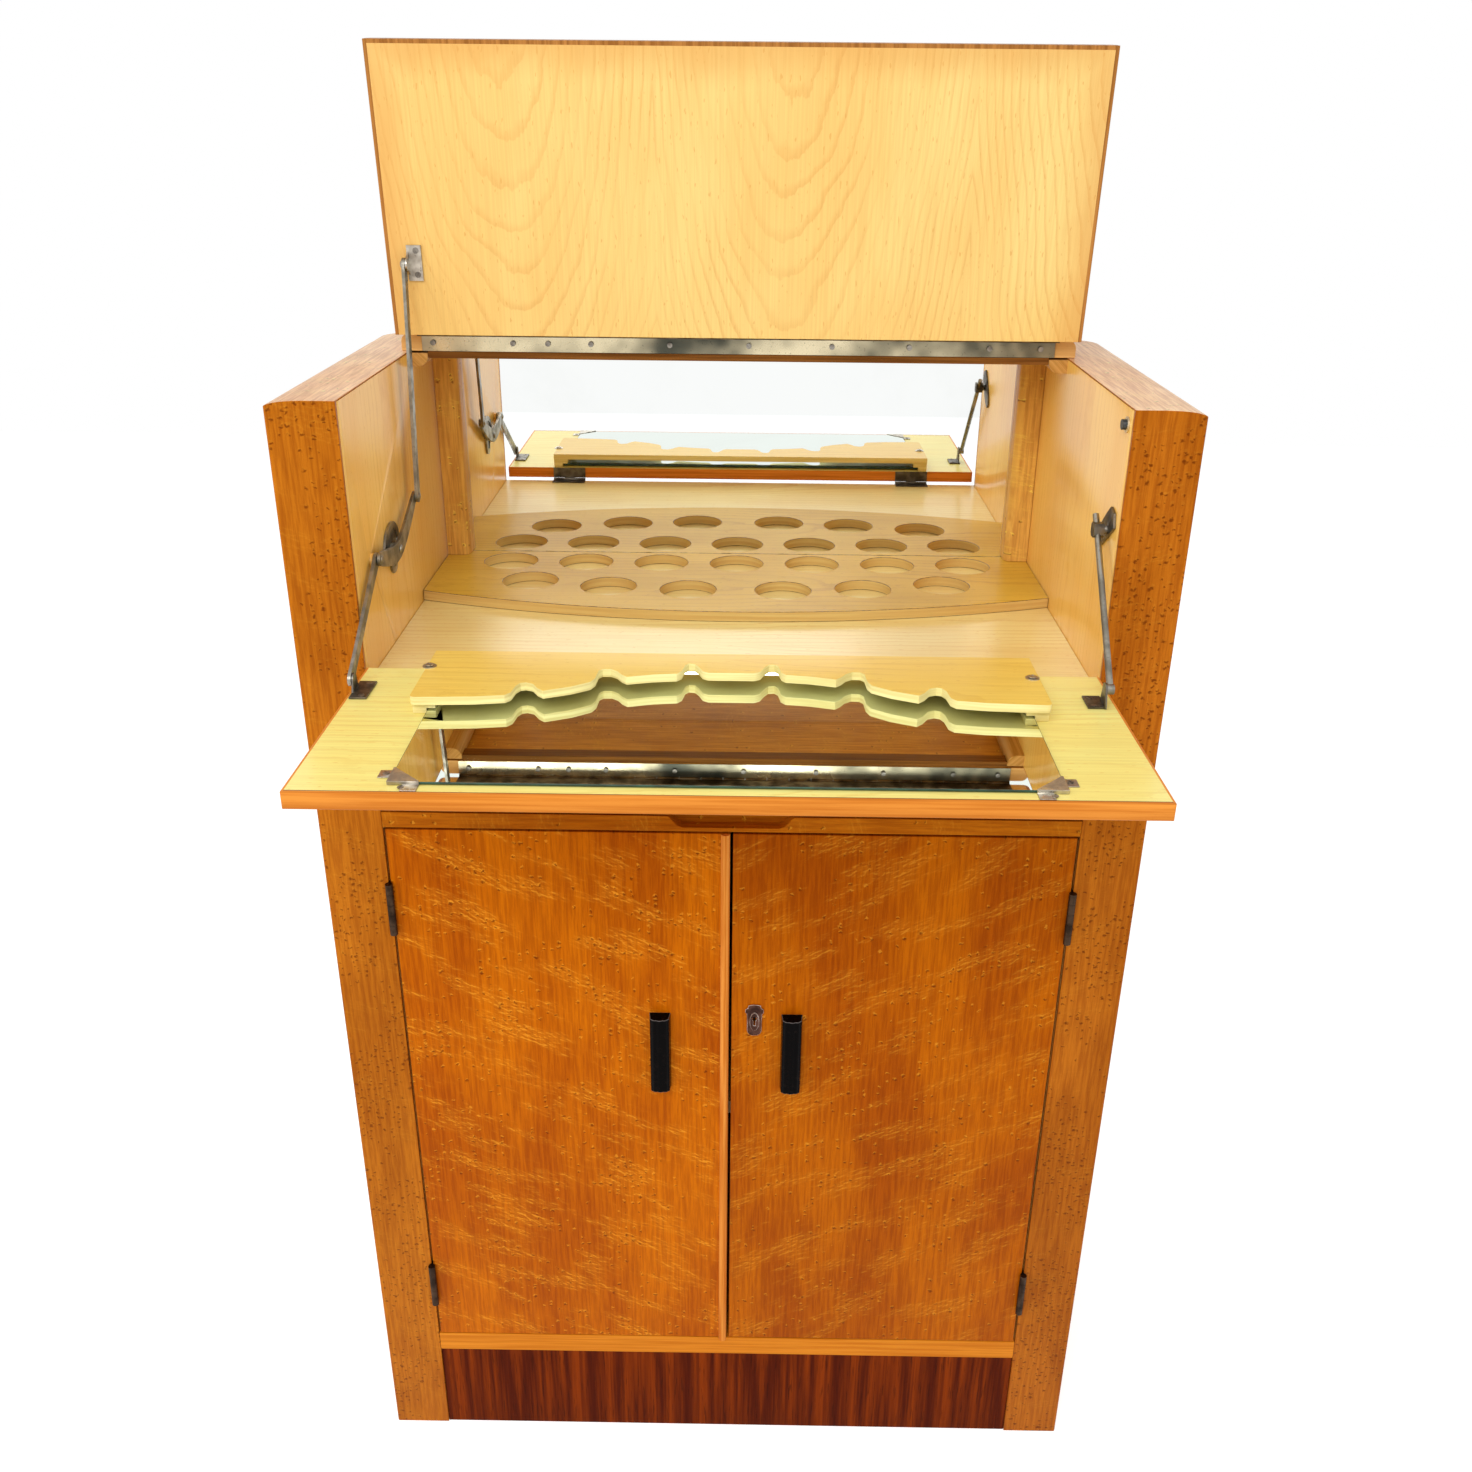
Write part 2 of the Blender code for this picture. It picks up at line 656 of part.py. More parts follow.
def rail_cleat(side):
    inner = HALF_OPENING - CLEAT_WIDTH
    low = SIDE_HEIGHT - CLEAT_HEIGHT
    high = SIDE_HEIGHT - CAP_EDGE - 2 * GAP
    outline = arc((inner + CLEAT_CORNER, low + CLEAT_CORNER), CLEAT_CORNER, 180, 270, 5)
    outline += [(HALF_OPENING + OVERRUN, low), (HALF_OPENING + OVERRUN, high), (inner, high)]
    return prism(
        bmesh.new(), sided(outline, side), RAIL_FRONT + GAP, MIRROR_FRONT - POST_DEPTH - 2 * GAP, "Y"
    )


# Plinth, bottom, division, shelf and back


def plinth_frame(cabinet):
    """The plinth: a walnut front with rails behind it that carry the cupboard floor."""
    rear = CABINET_DEPTH - REAR_PLINTH_SETBACK
    top = BOTTOM_TOP - BOARD - GAP
    bm = box(bmesh.new(), (-CAVITY_HALF, CAVITY_HALF), (PLINTH_SETBACK, rear), (0.0, top))
    plinth = add_object("plinth_frame", bm, walnut(), cabinet)
    inside = CAVITY_HALF - BOARD
    depths = (PLINTH_SETBACK + BOARD, rear - BOARD)
    cut(plinth, box(bmesh.new(), (-inside, inside), depths, (-OVERRUN, top + OVERRUN)))
    wide = CAVITY_HALF + OVERRUN
    step = (PLINTH_HEIGHT - GAP, top + OVERRUN)
    cut(plinth, box(bmesh.new(), (-wide, wide), (-OVERRUN, BOARD + GAP), step))


def bottom_board(cabinet):
    """The cupboard floor, thickened at the front into the pale rail above the plinth."""
    outline = [
        (0.0, PLINTH_HEIGHT),
        (BOARD, PLINTH_HEIGHT),
        (BOARD, BOTTOM_TOP - BOARD),
        (BOARD_REAR, BOTTOM_TOP - BOARD),
        (BOARD_REAR, BOTTOM_TOP),
        (0.0, BOTTOM_TOP),
    ]
    bm = prism(bmesh.new(), outline, -CAVITY_HALF, CAVITY_HALF, "X")
    add_object("bottom_board", bm, pale_maple(), cabinet)


def division_board(cabinet):
    """The board between cupboard and drawer, with a boat-shaped finger scoop in its front edge."""
    bm = box(
        bmesh.new(), (-CAVITY_HALF, CAVITY_HALF), (0.0, BOARD_REAR), (DIVISION_UNDER, DIVISION_TOP)
    )
    board = add_object("division_board", bm, amber_maple(), cabinet)
    half = SCOOP_LENGTH / 2
    boat = [(half * a, DIVISION_TOP - SCOOP_DEPTH * b) for a, b in SCOOP_SHARES]
    boat += [(half, DIVISION_TOP + OVERRUN), (-half, DIVISION_TOP + OVERRUN)]
    cutter = prism(bmesh.new(), boat, -OVERRUN, SCOOP_REACH, "Y")
    hole = (-BOLT_PLACE, DOOR_THICKNESS + BOLT_STANDOFF)
    rod(
        cutter, hole, BOLT_RADIUS + PIN_FIT, DIVISION_UNDER - OVERRUN,
        DIVISION_UNDER + BOLT_THROW, "Z",
    )
    cut(board, cutter)


def cupboard_shelf(cabinet):
    half = HALF_OPENING + SHELF_HOUSING - GAP
    bm = box(
        bmesh.new(), (-half, half), (SHELF_SETBACK, BOARD_REAR - GAP),
        (SHELF_HEIGHT - BOARD, SHELF_HEIGHT),
    )
    add_object("cupboard_shelf", bm, pale_maple(), cabinet)


def back_panel(cabinet):
    bm = box(
        bmesh.new(), (-CAVITY_HALF, CAVITY_HALF), (BACK_FRONT, BACK_FRONT + BACK_THICKNESS),
        (BACK_BOTTOM, SIDE_HEIGHT),
    )
    add_object("back_panel", bm, plywood(), cabinet)


# Cocktail compartment: floor, glass rack, corner posts and mirror


def cocktail_floor(cabinet):
    bm = box(
        bmesh.new(), (-CAVITY_HALF, CAVITY_HALF), (FLOOR_SETBACK, BOARD_REAR),
        (FLOOR_UNDER, FLOOR_TOP),
    )
    add_object("cocktail_floor", bm, pale_maple(), cabinet)


def back_mirror(cabinet):
    bm = box(
        bmesh.new(), (-CAVITY_HALF, CAVITY_HALF), (MIRROR_FRONT, MIRROR_FRONT + MIRROR_THICKNESS),
        (FLOOR_TOP + GAP, SIDE_HEIGHT),
    )
    add_object("back_mirror", bm, silvered_glass(), cabinet)


def rack_front(x):
    """Depth of the bowed front edge of the glass rack at x."""
    return RACK_MIDDLE_DEPTH + (RACK_END_DEPTH - RACK_MIDDLE_DEPTH) * (x / CAVITY_HALF) ** 2


def glass_places():
    rear = [(REAR_ROW_PITCH * i, REAR_ROW_DEPTH) for i in range(-3, 4)]
    places = [HALF_OPENING * share for share in FRONT_ROW_SHARES]
    return rear + [(x, rack_front(x) + FRONT_ROW_MARGIN) for x in places]


def glass_rack(cabinet):
    steps = 24
    edge = [CAVITY_HALF * (2 * i / steps - 1) for i in range(steps + 1)]
    rear = MIRROR_FRONT - GAP
    outline = [(x, rack_front(x)) for x in edge] + [(CAVITY_HALF, rear), (-CAVITY_HALF, rear)]
    low = FLOOR_TOP + GAP
    bm = prism(bmesh.new(), outline, low, low + RACK_THICKNESS)
    rack = add_object("glass_rack", bm, pale_maple(), cabinet)
    cutter = bmesh.new()
    for place in glass_places():
        rod(cutter, place, HOLE_RADIUS, low - OVERRUN, low + RACK_THICKNESS + OVERRUN, "Z", 28)
    cut(rack, cutter)


def rear_post(side, name, cabinet):
    """A round-cornered post that holds one end of the mirror."""
    inner = CAVITY_HALF - POST_WIDTH
    front = MIRROR_FRONT - GAP - POST_DEPTH
    rear = MIRROR_FRONT - GAP
    outline = arc((inner + POST_CORNER, front + POST_CORNER), POST_CORNER, 180, 270, 5)
    outline += [(CAVITY_HALF, front), (CAVITY_HALF, rear), (inner, rear)]
    bm = prism(bmesh.new(), sided(outline, side), RACK_TOP + GAP, SIDE_HEIGHT)
    add_object(name, bm, amber_maple(), cabinet)


# Top rail


def rounded_board(half, corner):
    """Section of a board whose two long top edges are rounded over, from below upwards."""
    right = [(half, LID_UNDER)] + arc((half - corner, LID_TOP - corner), corner, 0, 90, 5)
    return right + [(-a, b) for a, b in reversed(right)]


def top_rail(cabinet):
    """The board that the lid is hinged to."""
    bm = prism(bmesh.new(), rounded_board(LID_HALF, LID_CORNER), RAIL_FRONT, CABINET_DEPTH, "Y")
    add_object("top_rail", bm, amber_maple(), cabinet)


# Lid: drawn closed and flat, and set up by the tilt of its frame


def lid_panel(lid):
    outline = rounded_board(LID_HALF, LID_CORNER)
    bm = prism(bmesh.new(), outline, LID_SETBACK, LID_REAR, "Y")
    add_object("lid_panel", bm, pale_maple(), lid)


def knuckle_runs(middle, length, count, mine):
    """The x ends of every second knuckle along a hinge; mine is 0 or 1."""
    pitch = length / count
    start = middle - length / 2
    runs = []
    for i in range(mine, count, 2):
        runs.append((start + pitch * i + KNUCKLE_GAP / 2, start + pitch * (i + 1) - KNUCKLE_GAP / 2))
    return runs


def lid_hinge(body, name, mine, leaf_depths):
    """One half of the long hinge: a leaf on the board's edge and every second knuckle."""
    axis = (LID_AXIS_DEPTH, LID_AXIS_HEIGHT)
    reach = LID_HINGE_LENGTH / 2
    bm = box(bmesh.new(), (-reach, reach), leaf_depths, (LID_UNDER + GAP, LID_TOP - GAP))
    half = add_object(name, bm, nickel(), body)
    knuckles = bmesh.new()
    for ends in knuckle_runs(0.0, LID_HINGE_LENGTH, LID_KNUCKLES, mine):
        rod(knuckles, axis, LID_KNUCKLE_RADIUS, ends[0], ends[1], "X", 10)
    necks = bmesh.new()
    for ends in knuckle_runs(0.0, LID_HINGE_LENGTH, LID_KNUCKLES, mine):
        box(necks, ends, leaf_depths, (LID_TOP - 2 * GAP, LID_AXIS_HEIGHT))
    join(half, necks)
    join(half, knuckles)


def lid_bracket(lid):
    """The small plate screwed under the lid, with the lug that the upper link hangs on."""
    pin = lid_pin_closed()
    inner = UPPER_LINK_INNER - LINK_GAP
    plate_top = LID_UNDER - GAP
    middle = pin[0]
    bm = box(
        bmesh.new(),
        (-inner, -inner + LID_BRACKET_WIDTH),
        (middle - LID_BRACKET_HEIGHT / 2, middle + LID_BRACKET_HEIGHT / 2),
        (plate_top - SHEET, plate_top),
    )
    bracket = add_object("lid_bracket", bm, nickel(), lid)
    lug = [(middle + LID_LUG_FOOT, plate_top - SHEET / 2)]
    lug += arc(pin, LUG_RADIUS, 10, -190, 8)
    lug += [(middle - LID_LUG_FOOT, plate_top - SHEET / 2)]
    join(bracket, prism(bmesh.new(), lug, -inner, -inner + BRACKET_SHEET, "X"))
    ends = (-UPPER_LINK_OUTER - PIN_HEAD_HEIGHT, -inner + SHEET / 2)
    join(bracket, rod(bmesh.new(), pin, PIN_RADIUS, ends[0], ends[1], "X", 12))
    pin_head(bracket, pin, -PIN_HEAD_HEIGHT, -UPPER_LINK_OUTER - LINK_GAP)


# Linkage on the left panel


def rocker_pin():
    return (ROCKER_DEPTH, FLOOR_TOP + ROCKER_RISE)


def tail_pin():
    return (ROCKER_TAIL_DEPTH, FLOOR_TOP + ROCKER_TAIL_RISE)


def nose_pin():
    return (ROCKER_NOSE_DEPTH, FLOOR_TOP + ROCKER_NOSE_RISE)


def lid_pin_closed():
    """Where the lid's pin lies when the lid is shut, which is how the lid is drawn."""
    return (LID_AXIS_DEPTH - LID_PIN_AHEAD, LID_UNDER - LID_PIN_DROP)


def lid_pin():
    shut = lid_pin_closed()
    raised = turned((shut[0] - LID_AXIS_DEPTH, shut[1] - LID_AXIS_HEIGHT), -LID_OPENING)
    return (LID_AXIS_DEPTH + raised[0], LID_AXIS_HEIGHT + raised[1])


def flap_pin():
    return (-FLAP_PIN_AHEAD, FLAP_TOP + FLAP_PIN_RISE)


def pin_head(piece, place, height, base):
    """The riveted head at the end of a pin; a negative height faces the other way."""
    join(piece, dome(bmesh.new(), place, PIN_HEAD_RADIUS, height, base, "X", 10, 2))


def riveted_end(link, place, inner):
    """The pin head on a link's free end, sunk a little into it."""
    pin_head(link, place, PIN_HEAD_HEIGHT + SHEET / 4, -inner - SHEET / 4)


def bore(link, place, outer, inner):
    """The hole that turns on the next piece's pin."""
    cut(link, rod(bmesh.new(), place, PIN_RADIUS + PIN_FIT, -outer - OVERRUN, -inner + OVERRUN, "X", 12))


def rocker_plate(cabinet):
    """The pressed kidney-shaped plate on the side panel that carries the rocker's pivot."""
    middle = rocker_pin()
    half = (PLATE_WIDTH / 2, PLATE_HEIGHT / 2)
    corners = [(middle[0] + half[0] * a, middle[1] + half[1] * b) for a, b in PLATE_SHARES]
    outline = smooth_points(corners, 2, True)
    bm = prism(bmesh.new(), outline, -CAVITY_HALF, -PLATE_INNER, "X")
    plate = add_object("rocker_plate", bm, nickel(), cabinet)
    pocket = [
        tuple(place + (point - place) * PLATE_RIM_SHARE for place, point in zip(middle, spot))
        for spot in outline
    ]
    floor = -PLATE_INNER - SHEET * PLATE_POCKET_SHARE
    cut(plate, prism(bmesh.new(), pocket, floor, -PLATE_INNER + OVERRUN, "X"))
    root = -PLATE_INNER - SHEET / 2
    join(plate, rod(bmesh.new(), middle, ROCKER_BOSS, root, -ROCKER_OUTER - LINK_GAP, "X", 14))
    join(plate, rod(bmesh.new(), middle, PIN_RADIUS, root, -ROCKER_INNER + PIN_HEAD_HEIGHT, "X", 12))
    pin_head(plate, middle, PIN_HEAD_HEIGHT, -ROCKER_INNER + LINK_GAP)


def rocker(body):
    """The curved bell crank that ties the lid's link to the flap's link."""
    line = smooth_points([nose_pin(), rocker_pin(), tail_pin()], 7)
    widths = []
    for i in range(len(line)):
        share = i / (len(line) - 1)
        wide = ROCKER_NOSE_SHARE + ROCKER_BELLY_SHARE * sin(pi * share) - ROCKER_TAIL_SHARE * share
        widths.append(ROCKER_WIDTH / 2 * wide)
    bm = prism(bmesh.new(), strap(line, widths), -ROCKER_OUTER, -ROCKER_INNER, "X")
    crank = add_object("rocker", bm, nickel(), body)
    bore(crank, rocker_pin(), ROCKER_OUTER, ROCKER_INNER)
    riveted_end(crank, nose_pin(), ROCKER_INNER)


def link_outline(ends):
    """A straight flat bar with wider round eyes at its ends."""
    start, end = Vector(ends[0]), Vector(ends[1])
    neck = LINK_EYE / (end - start).length
    near = [(neck * along, LINK_EYE / 2 * wide) for along, wide in EYE_SHARES]
    near.append((neck * NECK_SHARE, LINK_WIDTH / 2))
    both = near + [(1 - along, wide) for along, wide in reversed(near)]
    points = [tuple(start.lerp(end, along)) for along, wide in both]
    return strap(points, [wide for along, wide in both], 8)


def upper_link(body):
    outline = link_outline((lid_pin(), tail_pin()))
    bm = prism(bmesh.new(), outline, -UPPER_LINK_OUTER, -UPPER_LINK_INNER, "X")
    link = add_object("upper_link", bm, nickel(), body)
    bore(link, lid_pin(), UPPER_LINK_OUTER, UPPER_LINK_INNER)
    riveted_end(link, tail_pin(), UPPER_LINK_INNER)


def lower_link(body):
    outline = link_outline((flap_pin(), nose_pin()))
    bm = prism(bmesh.new(), outline, -LOWER_LINK_OUTER, -LOWER_LINK_INNER, "X")
    link = add_object("lower_link", bm, nickel(), body)
    bore(link, flap_pin(), LOWER_LINK_OUTER, LOWER_LINK_INNER)


def flap_link_bracket(flap):
    """The plate screwed to the flap, with an upright lug that carries the lower link's pin."""
    pin = flap_pin()
    outer = ROCKER_OUTER
    low = FLAP_TOP + GAP
    bm = box(
        bmesh.new(),
        (-outer, -outer + FLAP_BRACKET_WIDTH),
        (pin[0] - FLAP_BRACKET_LENGTH / 2, pin[0] + FLAP_BRACKET_LENGTH / 2),
        (low, low + BRACKET_SHEET),
    )
    bracket = add_object("flap_link_bracket", bm, nickel(), flap)
    join(bracket, flap_lug(pin, -outer))
    ends = (-LOWER_LINK_OUTER - LINK_GAP / 2, -outer + BRACKET_SHEET / 2)
    join(bracket, rod(bmesh.new(), pin, PIN_RADIUS, ends[0], ends[1], "X", 12))


def flap_lug(pin, x):
    """A round-topped lug that stands on the flap under a pin, from x inwards or outwards."""
    foot = FLAP_TOP + GAP + BRACKET_SHEET / 4
    outline = [(pin[0] + LUG_FOOT, foot)] + arc(pin, LUG_RADIUS, -10, 190, 8)
    outline += [(pin[0] - LUG_FOOT, foot)]
    return prism(bmesh.new(), outline, x, x + BRACKET_SHEET, "X")


# Hinges and sheet metal of the flap


def flap_hinge_half(side, body, name, mine):
    """Half of a butt hinge: a leaf on the floor's front edge, or on the flap's rear edge."""
    low = FLOOR_TOP + GAP
    axis = (FLAP_AXIS_DEPTH, FLAP_AXIS_HEIGHT)
    middle = side * FLAP_HINGE_PLACE
    ends = (middle - FLAP_HINGE_LENGTH / 2, middle + FLAP_HINGE_LENGTH / 2)
    rear = FLAP_REAR + GAP
    if mine == 0:
        leaf = ((FLAP_AXIS_DEPTH, FLOOR_SETBACK + FLAP_LEAF_LENGTH), (low, low + LEAF))
    else:
        leaf = ((rear, rear + LEAF), (FLAP_AXIS_HEIGHT, FLAP_TOP))
    half = add_object(name, box(bmesh.new(), ends, leaf[0], leaf[1]), nickel(), body)
    reach = FLAP_KNUCKLE_RADIUS + GAP
    for run in knuckle_runs(middle, FLAP_HINGE_LENGTH, 3, 1 - mine):
        cut(half, box(
            bmesh.new(), (run[0] - KNUCKLE_GAP, run[1] + KNUCKLE_GAP),
            (axis[0] - reach, axis[0] + reach), (axis[1] - reach, axis[1] + reach),
        ))
    for run in knuckle_runs(middle, FLAP_HINGE_LENGTH, 3, mine):
        join(half, rod(bmesh.new(), axis, FLAP_KNUCKLE_RADIUS, run[0], run[1], "X", 12))


# Flap with its mirror and stem rack


def flap_panel(flap):
    bm = box(bmesh.new(), (-FLAP_HALF, FLAP_HALF), (-FLAP_REACH, FLAP_REAR), (FLAP_UNDER, FLAP_TOP))
    panel = add_object("flap_panel", bm, pale_maple(), flap)
    front_edges(panel, -FLAP_REACH - FLAP_AXIS_DEPTH)
    soften(panel, FLAP_EDGE_ROUND, 2)
    panel.modifiers["Edge"].limit_method = "WEIGHT"


def flap_mirror(flap):
    low = FLAP_TOP + GAP
    bm = box(
        bmesh.new(), (-FLAP_MIRROR_HALF, FLAP_MIRROR_HALF),
        (-FLAP_MIRROR_FRONT, -FLAP_MIRROR_REAR), (low, low + FLAP_MIRROR_THICKNESS),
    )
    add_object("flap_mirror", bm, silvered_glass(), flap)


def mirror_clip(side, name, flap):
    """A folded corner clip: a three-cornered top plate over the glass, with skirts and screw tabs."""
    low = FLAP_TOP + GAP
    glass = low + FLAP_MIRROR_THICKNESS + GAP
    out = FLAP_MIRROR_HALF + GAP
    ahead = -FLAP_MIRROR_FRONT - GAP
    sheet = CLIP_SHEET
    back = ahead + CLIP_LENGTH
    across = out - CLIP_LENGTH
    plate = [
        (out + sheet, ahead - sheet), (out + sheet, back), (out - sheet, back),
        (across, ahead + sheet), (across, ahead - sheet),
    ]
    clip = add_object(name, prism(bmesh.new(), sided(plate, side), glass, glass + sheet), nickel(), flap)
    corner = [
        (across, ahead - sheet), (out + sheet, ahead - sheet), (out + sheet, back),
        (out, back), (out, ahead), (across, ahead),
    ]
    join(clip, prism(bmesh.new(), sided(corner, side), low, glass + sheet / 2))
    tabs = (
        (out + sheet / 2, ahead + CLIP_TAB, out + CLIP_TAB, back),
        (across, ahead - CLIP_TAB, out - CLIP_TAB, ahead - sheet / 2),
    )
    for x0, depth0, x1, depth1 in tabs:
        outline = [(x0, depth0), (x1, depth0), (x1, depth1), (x0, depth1)]
        join(clip, prism(bmesh.new(), sided(outline, side), low, low + sheet))


def stem_edge():
    """The front edge of the stem rack, left to right, with three hooked notches on each side."""
    right = [(STEM_HALF * a, -STEM_FRONT * b) for a, b in STEM_EDGE_SHARES]
    right += arc((STEM_HALF - STEM_CORNER, -STEM_FRONT + STEM_CORNER), STEM_CORNER, -90, 0, 4)
    return [(-a, b) for a, b in reversed(right[1:])] + right


def stem_rack(flap):
    """The stem rack: a notched board on two blocks that are rebated over the edge of the glass."""
    low = FLAP_TOP + STEM_CLEAR
    outline = stem_edge() + [(STEM_HALF, -STEM_REAR), (-STEM_HALF, -STEM_REAR)]
    rack = add_object("stem_rack", prism(bmesh.new(), outline, low, low + STEM_BOARD), cream_maple(), flap)
    foot = FLAP_TOP + GAP
    glass = foot + FLAP_MIRROR_THICKNESS + GAP
    inner = STEM_HALF - STEM_BLOCK_WIDTH
    edge = FLAP_MIRROR_HALF + GAP
    outer = STEM_HALF - GAP
    high = low + STEM_BOARD / 2
    block = [(edge, foot), (outer, foot), (outer, high), (inner, high), (inner, glass), (edge, glass)]
    front = -STEM_FRONT * STEM_BLOCK_SHARE
    for side in (-1, 1):
        join(rack, prism(bmesh.new(), sided(block, side), front, -STEM_REAR - GAP, "Y"))


# Stay on the right: a rod that slides through a swivel


def swivel_pin():
    return (SWIVEL_DEPTH, FLOOR_TOP + SWIVEL_RISE)


def stay_pin():
    return (-STAY_PIN_AHEAD, FLAP_TOP + STAY_PIN_RISE)


def stay_plate(cabinet):
    middle = swivel_pin()
    half = (STAY_PLATE_WIDTH / 2, STAY_PLATE_HEIGHT / 2)
    outline = [(middle[0] + half[0] * a, middle[1] + half[1] * b) for a, b in STAY_PLATE_SHARES]
    bm = prism(bmesh.new(), outline, PLATE_INNER, CAVITY_HALF, "X")
    plate = add_object("stay_plate", bm, nickel(), cabinet)
    root = PLATE_INNER + SHEET / 2
    join(plate, rod(bmesh.new(), middle, SWIVEL_BOSS, SWIVEL_OUTER + LINK_GAP, root, "X", 12))
    join(plate, rod(bmesh.new(), middle, PIN_RADIUS, SWIVEL_PIN_END + GAP, root, "X", 10))


def stay_swivel(body):
    """The block that turns on the plate's pin, bored for the rod."""
    middle = Vector(swivel_pin())
    size = SWIVEL_SIZE / 2
    flat = size * SWIVEL_SHARE
    outline = [
        (-flat, -size), (flat, -size), (size, -flat), (size, flat),
        (flat, size), (-flat, size), (-size, flat), (-size, -flat),
    ]
    outline = [(middle.x + a, middle.y + b) for a, b in outline]
    bm = prism(bmesh.new(), outline, BAR_LINE - STAY_RADIUS - SHEET / 2, SWIVEL_OUTER, "X")
    block = add_object("stay_swivel", bm, nickel(), body)
    reach = BAR_LINE + SWIVEL_SIZE
    cut(block, rod(bmesh.new(), middle, PIN_RADIUS + PIN_FIT, SWIVEL_PIN_END, reach, "X", 10))
    way = (Vector(stay_pin()) - middle).normalized() * SWIVEL_SIZE
    cut(block, slanted_rod(middle + way, middle - way, STAY_RADIUS + PIN_FIT, 12))


def slanted_rod(start, end, radius, sides):
    """A round rod between two (depth, height) places on the stay's line."""
    first = Vector((BAR_LINE, start[0], start[1]))
    last = Vector((BAR_LINE, end[0], end[1]))
    way = last - first
    bm = bmesh.new()
    bmesh.ops.create_cone(
        bm, cap_ends=True, segments=sides, radius1=radius, radius2=radius, depth=way.length,
        matrix=Matrix.Translation((first + last) / 2) @ way.to_track_quat("Z", "X").to_matrix().to_4x4(),
    )
    return bm


def stay_bar(body):
    start, end = stay_pin(), swivel_pin()
    length = hypot(end[0] - start[0], end[1] - start[1])
    reach = (length + SWIVEL_SIZE / 2 + STAY_TAIL) / length
    tail = (start[0] + (end[0] - start[0]) * reach, start[1] + (end[1] - start[1]) * reach)
    bar = add_object("stay_bar", slanted_rod(start, tail, STAY_RADIUS, 12), nickel(), body)
    half = STAY_EYE_WIDTH / 2
    join(bar, rod(bmesh.new(), start, STAY_EYE, BAR_LINE - half, BAR_LINE + half, "X", 16))


def flap_stay_bracket(flap):
    """The plate screwed to the flap, with a lug beside the eye of the stay's rod."""
    pin = stay_pin()
    low = FLAP_TOP + GAP
    outer = BAR_LINE - STAY_EYE_WIDTH / 2 - LINK_GAP
    bm = box(
        bmesh.new(), (outer - STAY_FOOT_WIDTH, outer),
        (pin[0] - STAY_FOOT_AHEAD, pin[0] + STAY_FOOT_BEHIND), (low, low + BRACKET_SHEET),
    )
    bracket = add_object("flap_stay_bracket", bm, nickel(), flap)
    join(bracket, flap_lug(pin, outer - BRACKET_SHEET))


def flap_stop(cabinet):
    """The rubber stop on the right panel that the shut flap rests against."""
    middle = (FLAP_THICKNESS + STOP_RADIUS + GAP, FLAP_AXIS_HEIGHT + FLAP_REACH - STOP_HEAD)
    bm = rod(bmesh.new(), middle, STOP_RING, CAVITY_HALF - STOP_RING_THICKNESS, CAVITY_HALF, "X", 20)
    stop = add_object("flap_stop", bm, rubber(), cabinet)
    ends = (CAVITY_HALF - STOP_LENGTH, CAVITY_HALF - STOP_RING_THICKNESS / 2)
    join(stop, rod(bmesh.new(), middle, STOP_RADIUS, ends[0], ends[1], "X", 16))


# Drawer


def drawer_heights():
    low = DIVISION_TOP + GAP
    return low, FLOOR_UNDER - DRAWER_CLEARANCE


def drawer_front(drawer):
    low, high = drawer_heights()
    half = HALF_OPENING - DRAWER_CLEARANCE
    bm = box(bmesh.new(), (-half, half), (0.0, DRAWER_FRONT_THICKNESS), (low + DRAWER_CLEARANCE, high))
    front = add_object("drawer_front", bm, amber_maple(), drawer)
    groove = drawer_groove()
    cut(front, box(
        bmesh.new(), (-half + DRAWER_SIDE_THICKNESS, half - DRAWER_SIDE_THICKNESS),
        (DRAWER_FRONT_THICKNESS - DRAWER_GROOVE, DRAWER_FRONT_THICKNESS + OVERRUN), groove,
    ))


def drawer_groove():
    low = DIVISION_TOP + GAP + DRAWER_BOTTOM_HEIGHT
    return (low - GAP, low + DRAWER_BOTTOM_THICKNESS + GAP)


def drawer_side(side, name, drawer):
    low, high = drawer_heights()
    outer = HALF_OPENING - DRAWER_CLEARANCE
    inner = outer - DRAWER_SIDE_THICKNESS
    depths = (DRAWER_FRONT_THICKNESS + GAP, DRAWER_LENGTH)
    bm = box(bmesh.new(), span(side, inner, outer), depths, (low, high - DRAWER_SIDE_DROP))
    board = add_object(name, bm, pale_maple(), drawer)
    cut(board, box(
        bmesh.new(), span(side, inner - OVERRUN, inner + DRAWER_GROOVE),
        (depths[0] - OVERRUN, DRAWER_LENGTH - DRAWER_SIDE_THICKNESS + DRAWER_GROOVE), drawer_groove(),
    ))


def drawer_back(drawer):
    low, high = drawer_heights()
    half = HALF_OPENING - DRAWER_CLEARANCE - DRAWER_SIDE_THICKNESS - GAP
    bm = box(
        bmesh.new(), (-half, half), (DRAWER_LENGTH - DRAWER_SIDE_THICKNESS, DRAWER_LENGTH),
        (drawer_groove()[1], high - DRAWER_SIDE_DROP),
    )
    add_object("drawer_back", bm, pale_maple(), drawer)


